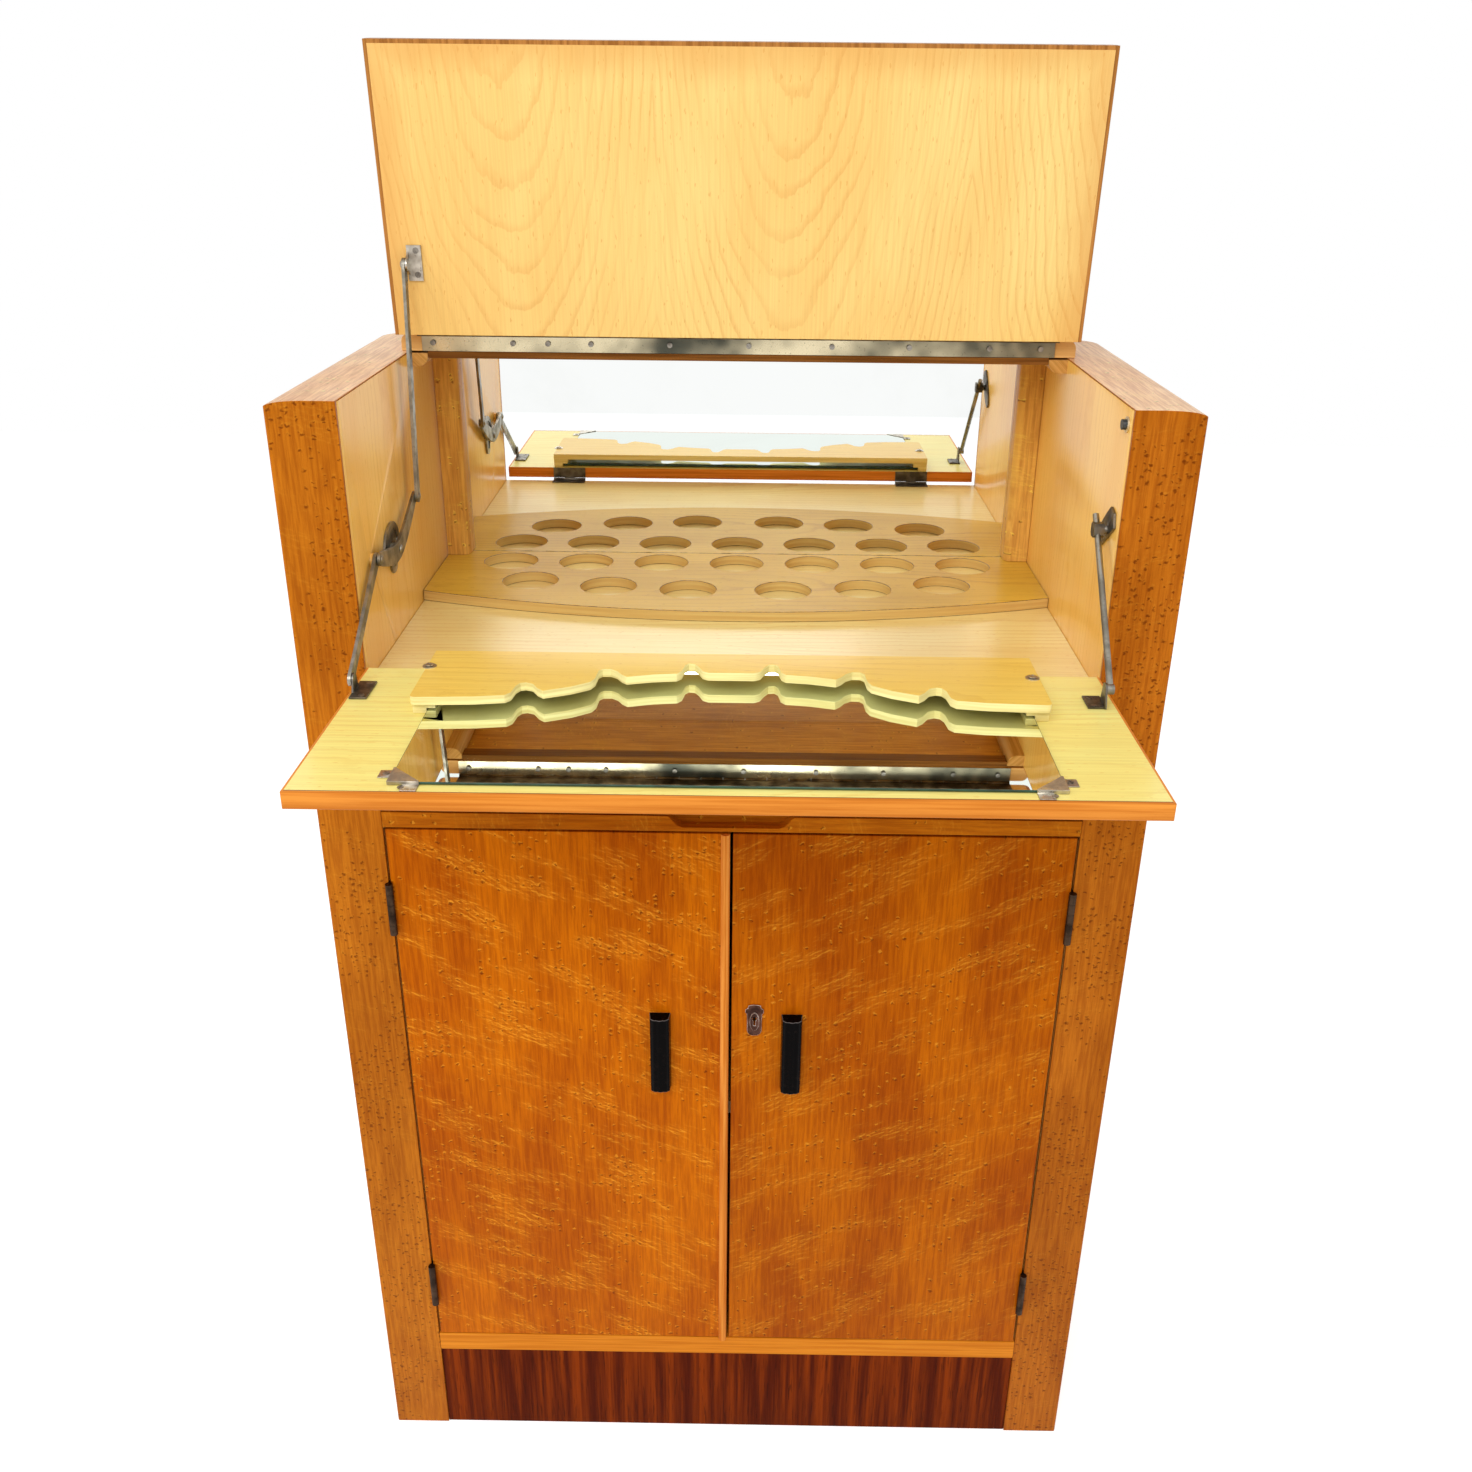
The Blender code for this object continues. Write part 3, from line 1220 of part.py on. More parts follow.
def drawer_bottom(drawer):
    half = HALF_OPENING - DRAWER_CLEARANCE - DRAWER_SIDE_THICKNESS + DRAWER_GROOVE - GAP
    low = DIVISION_TOP + GAP + DRAWER_BOTTOM_HEIGHT
    heights = (low, low + DRAWER_BOTTOM_THICKNESS)
    front = DRAWER_FRONT_THICKNESS + 2 * GAP
    bm = box(bmesh.new(), (-half, half), (front, DRAWER_LENGTH - DRAWER_SIDE_THICKNESS), heights)
    bottom = add_object("drawer_bottom", bm, plywood(), drawer)
    tongue = half - DRAWER_GROOVE - GAP
    tongue_front = DRAWER_FRONT_THICKNESS - DRAWER_GROOVE + GAP
    join(bottom, box(bmesh.new(), (-tongue, tongue), (tongue_front, front + OVERRUN), heights))


# Doors


def door_bolt_depth():
    return DOOR_THICKNESS + BOLT_STANDOFF


def left_door_panel(door):
    """The left door, with the half-round bead that runs down its meeting edge."""
    bm = box(
        bmesh.new(), (-DOOR_HALF, -LEFT_DOOR_EDGE), (0.0, DOOR_THICKNESS), (DOOR_BOTTOM, DOOR_TOP)
    )
    panel = add_object("left_door", bm, amber_maple(), door)
    depth, height = lock_bolt_room()
    reach = -LEFT_DOOR_EDGE - RIGHT_DOOR_EDGE - LOCK_BOLT_THROW
    cut(panel, box(bmesh.new(), (reach, OVERRUN), depth, height))
    radius = BEAD_WIDTH / 2
    middle = (-LEFT_DOOR_EDGE - GAP - radius, -GAP)
    seat = [
        (middle[0] - radius / 2, -radius / 2), (middle[0] + radius / 2, -radius / 2),
        (middle[0] + radius / 2, radius / 2), (middle[0] - radius / 2, radius / 2),
    ]
    join(panel, prism(bmesh.new(), seat, DOOR_BOTTOM + GAP, DOOR_TOP - GAP))
    bead = arc(middle, radius, 180, 360, 10)
    join(panel, prism(bmesh.new(), bead, DOOR_BOTTOM - BEAD_DROP, DOOR_TOP))


def keyhole(low, high):
    """A round hole with a slot below it."""
    radius = KEYHOLE_RADIUS
    slot = KEYHOLE_SLOT / 2
    middle = (ESCUTCHEON_PLACE, ESCUTCHEON_MIDDLE + radius)
    dip = 180 / pi * asin(slot / radius)
    outline = arc(middle, radius, -90 + dip, 270 - dip, 12)
    foot = middle[1] + radius - KEYHOLE_LENGTH
    outline += [(middle[0] - slot, foot), (middle[0] + slot, foot)]
    return prism(bmesh.new(), outline, low, high, "Y")


def lock_bolt_depths():
    middle = DOOR_THICKNESS - LOCK_DEPTH / 2
    return (middle - LOCK_BOLT_THICKNESS / 2, middle + LOCK_BOLT_THICKNESS / 2)


def lock_bolt_room():
    """The depths and heights that the lock's bolt slides in, with clearance."""
    low, high = lock_bolt_depths()
    half = LOCK_BOLT_WIDTH / 2 + PIN_FIT
    return (low - PIN_FIT, high + PIN_FIT), (ESCUTCHEON_MIDDLE - half, ESCUTCHEON_MIDDLE + half)


def lock_box(clear):
    """The room that the lock case takes at the meeting edge, with clearance."""
    return (
        (RIGHT_DOOR_EDGE, RIGHT_DOOR_EDGE + LOCK_WIDTH + clear),
        (DOOR_THICKNESS - LOCK_DEPTH - clear, DOOR_THICKNESS),
        (ESCUTCHEON_MIDDLE - LOCK_HEIGHT / 2 - clear, ESCUTCHEON_MIDDLE + LOCK_HEIGHT / 2 + clear),
    )


def right_door_panel(door):
    bm = box(
        bmesh.new(), (RIGHT_DOOR_EDGE, DOOR_HALF), (0.0, DOOR_THICKNESS), (DOOR_BOTTOM, DOOR_TOP)
    )
    panel = add_object("right_door", bm, amber_maple(), door)
    x, depth, height = lock_box(GAP)
    cut(panel, box(
        bmesh.new(), (x[0] - OVERRUN, x[1]), (depth[0], depth[1] + OVERRUN), height
    ))
    cut(panel, keyhole(-OVERRUN, DOOR_THICKNESS - LOCK_DEPTH + OVERRUN / 2))


def lock_case(door):
    x, depth, height = lock_box(0.0)
    case = add_object("lock_case", box(bmesh.new(), x, depth, height), steel(), door)
    depth, height = lock_bolt_room()
    cut(case, box(bmesh.new(), (x[0] - OVERRUN, x[0] + LOCK_BOLT_LENGTH + GAP), depth, height))


def lock_bolt(body):
    x = (RIGHT_DOOR_EDGE, RIGHT_DOOR_EDGE + LOCK_BOLT_LENGTH)
    half = LOCK_BOLT_WIDTH / 2
    bm = box(bmesh.new(), x, lock_bolt_depths(), (ESCUTCHEON_MIDDLE - half, ESCUTCHEON_MIDDLE + half))
    add_object("lock_bolt", bm, steel(), body)


def escutcheon(door):
    """The pressed keyhole plate, wider at its crowned head, with a raised oval."""
    half = (ESCUTCHEON_WIDTH / 2, ESCUTCHEON_HEIGHT / 2)
    right = [(half[0] * a, half[1] * b) for a, b in ESCUTCHEON_SHARES]
    outline = right + [(-a, b) for a, b in reversed(right)]
    outline = [(ESCUTCHEON_PLACE + a, ESCUTCHEON_MIDDLE + b) for a, b in outline]
    bm = prism(bmesh.new(), outline, -GAP - ESCUTCHEON_SHEET, -GAP, "Y")
    plate = add_object("escutcheon", bm, copper(), door)
    wide, tall, shift = OVAL_SHARES
    oval = [
        (ESCUTCHEON_PLACE + half[0] * wide * a, ESCUTCHEON_MIDDLE + half[1] * (tall * b + shift))
        for a, b in circle((0, 0), 1, 20)
    ]
    face = -GAP - ESCUTCHEON_SHEET
    join(plate, prism(bmesh.new(), oval, face - ESCUTCHEON_OVAL, face + ESCUTCHEON_SHEET / 2, "Y"))
    cut(plate, keyhole(-OVERRUN, OVERRUN))


def handle(side, name, door):
    """A fluted grip: its ribbed section runs straight up, and its ends slope back to the door."""
    middle = side * HANDLE_PLACE
    half = HANDLE_WIDTH / 2
    steps = HANDLE_FLUTES * 6
    section = []
    for i in range(steps + 1):
        share = i / steps
        angle = pi * share
        rib = abs(sin(HANDLE_FLUTES * pi * share))
        reach = 1 - (HANDLE_FLUTE_DEPTH / HANDLE_DEPTH) * (1 - rib)
        across = -half * cos(angle) * (1 - HANDLE_TAPER_SHARE * (1 - sin(angle)))
        swell = HANDLE_SHOULDER_SHARE + (1 - HANDLE_SHOULDER_SHARE) * sin(angle)
        section.append((middle + across, -GAP - HANDLE_DEPTH * swell * reach))
    section += [(middle + half, -GAP), (middle - half, -GAP)]
    low = HANDLE_MIDDLE - HANDLE_HEIGHT / 2
    high = HANDLE_MIDDLE + HANDLE_HEIGHT / 2
    grip = add_object(name, prism(bmesh.new(), section, low, high), black_plastic(), door)
    cutter = bmesh.new()
    slope = HANDLE_END / HANDLE_DEPTH
    for base, way in ((low, -1), (high, 1)):
        start = base - way * HANDLE_END
        end_depth = HANDLE_DEPTH + OVERRUN
        wedge = [
            (-end_depth, start - way * slope * OVERRUN), (OVERRUN, base + way * slope * OVERRUN),
            (OVERRUN, base + way * HANDLE_HEIGHT / 4), (-end_depth, base + way * HANDLE_HEIGHT / 4),
        ]
        prism(cutter, wedge, middle - half - OVERRUN, middle + half + OVERRUN, "X")
    cut(grip, cutter)


def door_hinge_half(side, height, body, name, mine):
    """Half of a butt hinge: a leaf in the gap beside the door, and knuckles in front of it."""
    axis = (side * DOOR_AXIS, DOOR_AXIS_DEPTH)
    if mine == 0:
        leaf = (HALF_OPENING - GAP - LEAF, HALF_OPENING - GAP)
    else:
        leaf = (DOOR_HALF + GAP, DOOR_HALF + GAP + LEAF)
    ends = (height - DOOR_HINGE_LENGTH / 2, height + DOOR_HINGE_LENGTH / 2)
    bm = box(bmesh.new(), span(side, leaf[0], leaf[1]), (DOOR_AXIS_DEPTH, DOOR_LEAF_LENGTH), ends)
    half = add_object(name, bm, bronze(), body)
    reach = DOOR_KNUCKLE_RADIUS + GAP
    for run in knuckle_runs(height, DOOR_HINGE_LENGTH, DOOR_KNUCKLES, 1 - mine):
        cut(half, box(
            bmesh.new(), (axis[0] - reach, axis[0] + reach), (axis[1] - reach, axis[1] + reach),
            (run[0] - KNUCKLE_GAP, run[1] + KNUCKLE_GAP),
        ))
    for run in knuckle_runs(height, DOOR_HINGE_LENGTH, DOOR_KNUCKLES, mine):
        join(half, prism(bmesh.new(), circle(axis, DOOR_KNUCKLE_RADIUS, 12), run[0], run[1]))


def door_hinges(side, body, names, mine):
    for height, name in zip(DOOR_HINGE_HEIGHTS, names):
        door_hinge_half(side, height, body, name, mine)


def door_bolt_plate(door):
    """The back plate and two staples of the bolt inside the left door."""
    x = -BOLT_PLACE
    depth = DOOR_THICKNESS + GAP
    high = DOOR_TOP - BOLT_PLATE_SHEET
    low = high - BOLT_LENGTH
    half = BOLT_PLATE_WIDTH / 2
    bm = box(bmesh.new(), (x - half, x + half), (depth, depth + BOLT_PLATE_SHEET), (low, high))
    plate = add_object("door_bolt_plate", bm, steel(), door)
    staples = bmesh.new()
    wide = BOLT_RADIUS + BOLT_PLATE_SHEET + PIN_FIT
    for base in (low, high - BOLT_STAPLE):
        depths = (depth + BOLT_PLATE_SHEET / 2, door_bolt_depth() + wide)
        box(staples, (x - wide, x + wide), depths, (base, base + BOLT_STAPLE))
    join(plate, staples)
    cut(plate, rod(
        bmesh.new(), (x, door_bolt_depth()), BOLT_RADIUS + PIN_FIT, low - OVERRUN, high + OVERRUN, "Z", 14
    ))


def door_bolt(body):
    x = -BOLT_PLACE
    high = DOOR_TOP
    low = high - BOLT_LENGTH + BOLT_STAPLE / 2
    bm = rod(bmesh.new(), (x, door_bolt_depth()), BOLT_RADIUS, low, high, "Z", 12)
    bolt = add_object("door_bolt", bm, steel(), body)
    middle = (x, (low + high) / 2)
    knob_end = door_bolt_depth() + BOLT_KNOB_LENGTH
    join(bolt, rod(bmesh.new(), middle, BOLT_KNOB_RADIUS, door_bolt_depth(), knob_end, "Y", 10))


# The whole cabinet


def clear_scene():
    for obj in list(bpy.data.objects):
        bpy.data.objects.remove(obj)


def build_cabinet():
    cabinet = frame("cabinet_frame", 0.0, 0.0, 0.0)
    side_casing(-1, "left_side_casing", cabinet)
    side_casing(1, "right_side_casing", cabinet)
    inner_panel(-1, "left_inner_panel", cabinet)
    inner_panel(1, "right_inner_panel", cabinet)
    plinth_frame(cabinet)
    bottom_board(cabinet)
    division_board(cabinet)
    cupboard_shelf(cabinet)
    back_panel(cabinet)
    cocktail_floor(cabinet)
    back_mirror(cabinet)
    glass_rack(cabinet)
    rear_post(-1, "left_rear_post", cabinet)
    rear_post(1, "right_rear_post", cabinet)
    top_rail(cabinet)
    lid_hinge(cabinet, "rail_hinge_leaf", 0, (RAIL_FRONT - GAP - LEAF, RAIL_FRONT - GAP))
    flap_hinge_half(-1, cabinet, "left_flap_hinge_plate", 0)
    flap_hinge_half(1, cabinet, "right_flap_hinge_plate", 0)
    rocker_plate(cabinet)
    stay_plate(cabinet)
    flap_stop(cabinet)
    door_hinges(-1, cabinet, ("left_lower_hinge_plate", "left_upper_hinge_plate"), 0)
    door_hinges(1, cabinet, ("right_lower_hinge_plate", "right_upper_hinge_plate"), 0)


def build_lid():
    lid = frame("lid_frame", 0.0, LID_AXIS_DEPTH, LID_AXIS_HEIGHT, -LID_OPENING)
    lid_panel(lid)
    lid_hinge(lid, "lid_hinge_leaf", 1, (LID_REAR + GAP, LID_REAR + GAP + LEAF))
    lid_bracket(lid)


def build_flap():
    flap = frame("flap_frame", 0.0, FLAP_AXIS_DEPTH, FLAP_AXIS_HEIGHT)
    flap_panel(flap)
    flap_mirror(flap)
    mirror_clip(-1, "left_mirror_clip", flap)
    mirror_clip(1, "right_mirror_clip", flap)
    stem_rack(flap)
    flap_hinge_half(-1, flap, "left_flap_hinge_leaf", 1)
    flap_hinge_half(1, flap, "right_flap_hinge_leaf", 1)
    flap_link_bracket(flap)
    flap_stay_bracket(flap)


def build_linkage():
    rocker(frame("rocker_frame", -ROCKER_INNER, *rocker_pin()))
    upper_link(frame("upper_link_frame", -UPPER_LINK_INNER, *lid_pin()))
    lower_link(frame("lower_link_frame", -LOWER_LINK_INNER, *flap_pin()))
    stay_swivel(frame("swivel_frame", BAR_LINE, *swivel_pin()))
    stay_bar(frame("stay_bar_frame", BAR_LINE, *stay_pin()))


def build_drawer():
    drawer = frame("drawer_frame", 0.0, 0.0, DIVISION_TOP)
    drawer_front(drawer)
    drawer_side(-1, "left_drawer_side", drawer)
    drawer_side(1, "right_drawer_side", drawer)
    drawer_back(drawer)
    drawer_bottom(drawer)


def build_doors():
    left = frame("left_door_frame", -DOOR_AXIS, DOOR_AXIS_DEPTH, DOOR_BOTTOM)
    left_door_panel(left)
    handle(-1, "left_handle", left)
    door_hinges(-1, left, ("left_lower_hinge_leaf", "left_upper_hinge_leaf"), 1)
    door_bolt_plate(left)
    door_bolt(frame("door_bolt_frame", -BOLT_PLACE, door_bolt_depth(), DOOR_TOP))
    right = frame("right_door_frame", DOOR_AXIS, DOOR_AXIS_DEPTH, DOOR_BOTTOM)
    right_door_panel(right)
    handle(1, "right_handle", right)
    escutcheon(right)
    door_hinges(1, right, ("right_lower_hinge_leaf", "right_upper_hinge_leaf"), 1)
    lock_case(right)
    lock_bolt(frame("lock_bolt_frame", RIGHT_DOOR_EDGE, DOOR_THICKNESS - LOCK_DEPTH / 2, ESCUTCHEON_MIDDLE))


clear_scene()
build_cabinet()
build_lid()
build_flap()
build_linkage()
build_drawer()
build_doors()
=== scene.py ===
"""The looks of a bar cabinet in birdseye maple, open, as it stands for use."""

import json
from math import cos, radians, sin

import bmesh
import bpy
from mathutils import Matrix, Vector

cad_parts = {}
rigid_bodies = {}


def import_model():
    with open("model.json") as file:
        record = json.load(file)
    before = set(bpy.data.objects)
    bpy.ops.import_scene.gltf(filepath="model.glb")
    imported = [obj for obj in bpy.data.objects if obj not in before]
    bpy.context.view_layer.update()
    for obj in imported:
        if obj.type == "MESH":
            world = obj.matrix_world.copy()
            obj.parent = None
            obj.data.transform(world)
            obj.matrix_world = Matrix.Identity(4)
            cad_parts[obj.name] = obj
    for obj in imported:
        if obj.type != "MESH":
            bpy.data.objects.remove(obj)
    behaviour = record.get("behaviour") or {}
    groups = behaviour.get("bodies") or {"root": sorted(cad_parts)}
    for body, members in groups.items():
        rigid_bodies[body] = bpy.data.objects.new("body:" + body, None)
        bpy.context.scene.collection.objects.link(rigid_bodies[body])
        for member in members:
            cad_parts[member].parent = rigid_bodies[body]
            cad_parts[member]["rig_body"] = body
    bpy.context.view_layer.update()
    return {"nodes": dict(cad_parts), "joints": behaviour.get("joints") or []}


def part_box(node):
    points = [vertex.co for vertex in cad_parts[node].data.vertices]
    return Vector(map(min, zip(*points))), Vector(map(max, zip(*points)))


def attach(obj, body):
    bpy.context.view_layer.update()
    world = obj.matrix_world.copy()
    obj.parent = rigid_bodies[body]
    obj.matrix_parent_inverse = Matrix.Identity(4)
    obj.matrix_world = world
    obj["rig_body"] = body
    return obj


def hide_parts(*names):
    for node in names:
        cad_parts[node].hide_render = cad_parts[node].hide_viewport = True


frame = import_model()

# The photographer's camera: standing in front, a little above the raised lid, looking down.
# The frame is 1472 by 1472, so the lens is the focal length in pixels over the frame's width.
eye = Vector((0.0147, -1.3442, 1.5884))
pitch, yaw, roll = radians(24.489), radians(-0.462), radians(0.564)
focal_px, frame_px = 1356.3, 1472
sensor_mm = 36.0
looking = (
    Matrix.Rotation(roll, 3, "Z")
    @ Matrix.Rotation(pitch, 3, "X")
    @ Matrix(((1, 0, 0), (0, 0, -1), (0, 1, 0)))
    @ Matrix.Rotation(yaw, 3, "Z")
)
camera = bpy.data.objects.new("camera", bpy.data.cameras.new("camera"))
camera.data.sensor_width = sensor_mm
camera.data.lens = sensor_mm * focal_px / frame_px
turn = looking.transposed() @ Matrix.Diagonal((1, -1, -1))
camera.matrix_world = Matrix.Translation(eye) @ turn.to_4x4()
bpy.context.scene.collection.objects.link(camera)
bpy.context.scene.camera = camera

# The studio: a plain white floor and backdrop, one large soft lamp above and in front,
# and a weaker one on each side.
bpy.context.scene.view_settings.view_transform = "Standard"


def node(tree, kind, inputs=None, **settings):
    """Adds a shader node; a socket's value is a number, a colour or another node's output."""
    made = tree.nodes.new(kind)
    for key, value in settings.items():
        setattr(made, key, value)
    for key, value in (inputs or {}).items():
        if isinstance(value, bpy.types.NodeSocket):
            tree.links.new(value, made.inputs[key])
        else:
            made.inputs[key].default_value = value
    return made


def maths(tree, operation, first, second=0.0):
    """A Math node's result."""
    return node(tree, "ShaderNodeMath", {0: first, 1: second}, operation=operation).outputs[0]


def seen_directly(tree, also=None):
    """1 for rays from the camera or from a polished surface, and for one more kind if it is named."""
    rays = node(tree, "ShaderNodeLightPath").outputs
    seen = maths(tree, "MAXIMUM", rays["Is Camera Ray"], rays["Is Glossy Ray"])
    return maths(tree, "MAXIMUM", seen, rays[also]) if also else seen


world = bpy.data.worlds.new("studio")
bpy.context.scene.world = world
world.use_nodes = True
sky = world.node_tree
sky.nodes.clear()
seen = seen_directly(sky, "Is Transmission Ray")
dim = node(sky, "ShaderNodeBackground", {"Color": (1, 1, 1, 1), "Strength": 0.66})
white = node(sky, "ShaderNodeBackground", {"Color": (1, 1, 1, 1), "Strength": 1.0})
mix = node(sky, "ShaderNodeMixShader", {0: seen, 1: dim.outputs[0], 2: white.outputs[0]})
node(sky, "ShaderNodeOutputWorld", {"Surface": mix.outputs[0]})

floor_half = 6.0
bm = bmesh.new()
bmesh.ops.create_grid(bm, x_segments=1, y_segments=1, size=floor_half)
floor_mesh = bpy.data.meshes.new("floor")
bm.to_mesh(floor_mesh)
bm.free()
floor = bpy.data.objects.new("floor", floor_mesh)
bpy.context.scene.collection.objects.link(floor)
pale = bpy.data.materials.new("floor")
pale.use_nodes = True
tree = pale.node_tree
tree.nodes.clear()
matt = node(tree, "ShaderNodeBsdfDiffuse", {"Color": (0.9, 0.9, 0.9, 1)})
glow = node(tree, "ShaderNodeEmission", {"Color": (1, 1, 1, 1), "Strength": 0.5})
lit = node(tree, "ShaderNodeAddShader", {0: matt.outputs[0], 1: glow.outputs[0]})
direct = seen_directly(tree)
mix = node(tree, "ShaderNodeMixShader", {0: direct, 1: matt.outputs[0], 2: lit.outputs[0]})
node(tree, "ShaderNodeOutputMaterial", {"Surface": mix.outputs[0]})
floor.data.materials.append(pale)


def softbox(name, place, target, width, height, watts):
    """A rectangular lamp at a place, facing a target."""
    lamp = bpy.data.objects.new(name, bpy.data.lights.new(name, "AREA"))
    lamp.data.shape = "RECTANGLE"
    lamp.data.size = width
    lamp.data.size_y = height
    lamp.data.energy = watts
    way = Vector(target) - Vector(place)
    lamp.matrix_world = Matrix.Translation(place) @ way.to_track_quat("-Z", "Y").to_matrix().to_4x4()
    bpy.context.scene.collection.objects.link(lamp)


softbox("key", (-0.6, -2.6, 3.2), (0, 0, 0.9), width=2.4, height=1.6, watts=57)
softbox("left_fill", (-2.8, -1.4, 1.6), (0, 0, 0.8), width=1.4, height=2.0, watts=18)
softbox("right_fill", (2.8, -1.4, 1.6), (0, 0, 0.8), width=1.4, height=2.0, watts=8)

# The sides: hollow boxes veneered in birdseye maple, a polished amber, with the grain upright.
# Their crowned tops are veneered too, and are painted paler and pinker, as painted light, because they
# face the light.
# Each is one glued piece, so it stands in for the plain solid with its edges eased.
weld = 0.00005
flat_within = radians(0.4)
rounded_from = radians(40)
veneer_edge = 0.0007
upward_least = 0.75
lacquer = (1.0, 0.5, 0.06, 1)
eyes_across = 112.0
eyes_along = 1.3 * eyes_across
curl_across, curl_along = 85, 230
curl_step = 0.0015


def between(tree, value, low, high):
    """Rises smoothly from 0 to 1 as the value goes from low to high; low may be the larger."""
    rising = node(
        tree, "ShaderNodeMapRange", {"Value": value, "From Min": low, "From Max": high},
        interpolation_type="SMOOTHSTEP",
    )
    return rising.outputs[0]


def tint(tree, share, first, second, blend="MIX"):
    """The first colour with a share of the second mixed in."""
    mixed = node(
        tree, "ShaderNodeMix", {0: share, 6: first, 7: second}, data_type="RGBA", blend_type=blend
    )
    return mixed.outputs[2]


def on_board(tree, across, along, centre=(0, 0, 0), turn=(0, 0, 0)):
    """Places on a board's face, in metres: x runs across the grain and y along it."""
    spot = node(tree, "ShaderNodeTexCoord").outputs["Object"]
    spot = node(
        tree, "ShaderNodeMapping", {"Vector": spot, "Location": centre, "Rotation": turn},
        vector_type="TEXTURE",
    ).outputs[0]
    parts = node(tree, "ShaderNodeSeparateXYZ", {0: spot}).outputs
    wide = parts[across[0]]
    for letter in across[1:]:
        wide = maths(tree, "ADD", wide, parts[letter])
    return node(tree, "ShaderNodeCombineXYZ", {0: wide, 1: parts[along]}).outputs[0]


def turned_on_board(tree, spot, angle):
    """Places on a board turned about its centre."""
    return node(tree, "ShaderNodeMapping", {"Vector": spot, "Rotation": (0, 0, angle)}).outputs[0]


def moved_on_board(tree, spot, offset):
    """Places on a board moved by so much."""
    return node(tree, "ShaderNodeMapping", {"Vector": spot, "Location": offset}).outputs[0]


def fibres(tree, spot, across, along, detail=2.0, roughness=0.5):
    """Noise with so many turns to the metre across the grain and along it."""
    stretched = node(tree, "ShaderNodeVectorMath", {0: spot, 1: (across, along, 1)}, operation="MULTIPLY")
    made = node(
        tree, "ShaderNodeTexNoise",
        {"Vector": stretched.outputs[0], "Scale": 1.0, "Detail": detail, "Roughness": roughness},
        noise_dimensions="2D",
    )
    return made.outputs["Fac"]


def polish(name, roughness, coat=0.0, metallic=0.0, sheen=0.5):
    """A new finish, its node tree and its Principled shader."""
    made = bpy.data.materials.new(name)
    made.use_nodes = True
    shader = made.node_tree.nodes["Principled BSDF"]
    shader.inputs["Roughness"].default_value = roughness
    shader.inputs["Coat Weight"].default_value = coat
    shader.inputs["Coat Roughness"].default_value = 0.12
    shader.inputs["Specular IOR Level"].default_value = sheen
    shader.inputs["Metallic"].default_value = metallic
    return made, made.node_tree, shader


def roughen(tree, shader, height, depth, strength=1.0):
    """Bump of so many metres from a height that runs from 0 to 1."""
    bump = node(tree, "ShaderNodeBump", {"Height": height, "Distance": depth, "Strength": strength})
    tree.links.new(bump.outputs[0], shader.inputs["Normal"])


def curl_figure(tree, spot, lean, curled):
    """Leaning wisps of curl: the patches that hold them, and each wisp's painted lit flank and painted
    shaded flank, as if it stood in relief.
    """
    leaning = turned_on_board(tree, spot, lean)
    curl = fibres(tree, leaning, curl_across, curl_along, 2, 0.55)
    stepped = moved_on_board(tree, leaning, (0, curl_step, 0))
    # Painted relief: the noise less the same noise a step up the board; above 0 gives the painted lit
    # flank, below 0 the painted shaded flank.
    slope = maths(tree, "SUBTRACT", curl, fibres(tree, stepped, curl_across, curl_along, 2, 0.55))
    patches = between(tree, fibres(tree, leaning, 10, 34, 4, 0.65), 0.47, 0.68)
    patches = maths(tree, "MULTIPLY", patches, curled)
    raised_head_or_painted_lit_flank = maths(tree, "MULTIPLY", between(tree, slope, 0.02, 0.20), patches)
    painted_shaded_flank = maths(tree, "MULTIPLY", between(tree, slope, -0.04, -0.26), patches)
    return patches, raised_head_or_painted_lit_flank, painted_shaded_flank


def eye_figure(tree, spot, patches, crowded):
    """Small ragged eyes, most of them where the curl is: each one's dark pit, and the painted highlight
    above it.
    """
    ragged = node(
        tree, "ShaderNodeTexNoise", {"Vector": spot, "Scale": 210.0, "Detail": 2.0},
        noise_dimensions="2D",
    ).outputs["Color"]
    ragged = node(
        tree, "ShaderNodeVectorMath", {0: ragged, 1: (0.006, 0.006, 0), 2: spot},
        operation="MULTIPLY_ADD",
    ).outputs[0]
    eye_spot = node(
        tree, "ShaderNodeVectorMath", {0: ragged, 1: (eyes_across, eyes_along, 1)},
        operation="MULTIPLY",
    ).outputs[0]
    eyes = node(tree, "ShaderNodeTexVoronoi", {"Vector": eye_spot, "Scale": 1.0}, voronoi_dimensions="2D")
    chance = node(tree, "ShaderNodeSeparateColor", {0: eyes.outputs["Color"]}).outputs
    crowd = between(tree, fibres(tree, moved_on_board(tree, spot, (0.7, 0.1, 0)), 12, 9, 2), 0.36, 0.66)
    crowd = maths(tree, "MULTIPLY", crowd, maths(tree, "ADD", patches, 0.4))
    crowd = maths(tree, "ADD", maths(tree, "MULTIPLY", crowd, crowded), 0.03)
    shown = maths(tree, "LESS_THAN", chance[0], crowd)
    reach = maths(tree, "ADD", maths(tree, "MULTIPLY", chance[1], 0.24), 0.14)
    pit = maths(tree, "MULTIPLY", between(tree, eyes.outputs["Distance"], reach, 0.04), shown)
    # The painted highlight: the same eyes found a little higher up the board, pale where near.
    glint_spot = node(
        tree, "ShaderNodeVectorMath", {0: eye_spot, 1: (0.04, -0.22, 0)}, operation="ADD"
    ).outputs[0]
    lid = node(tree, "ShaderNodeTexVoronoi", {"Vector": glint_spot, "Scale": 1.0}, voronoi_dimensions="2D")
    glint = maths(tree, "MULTIPLY", between(tree, lid.outputs["Distance"], 0.30, 0.10), shown)
    return pit, glint


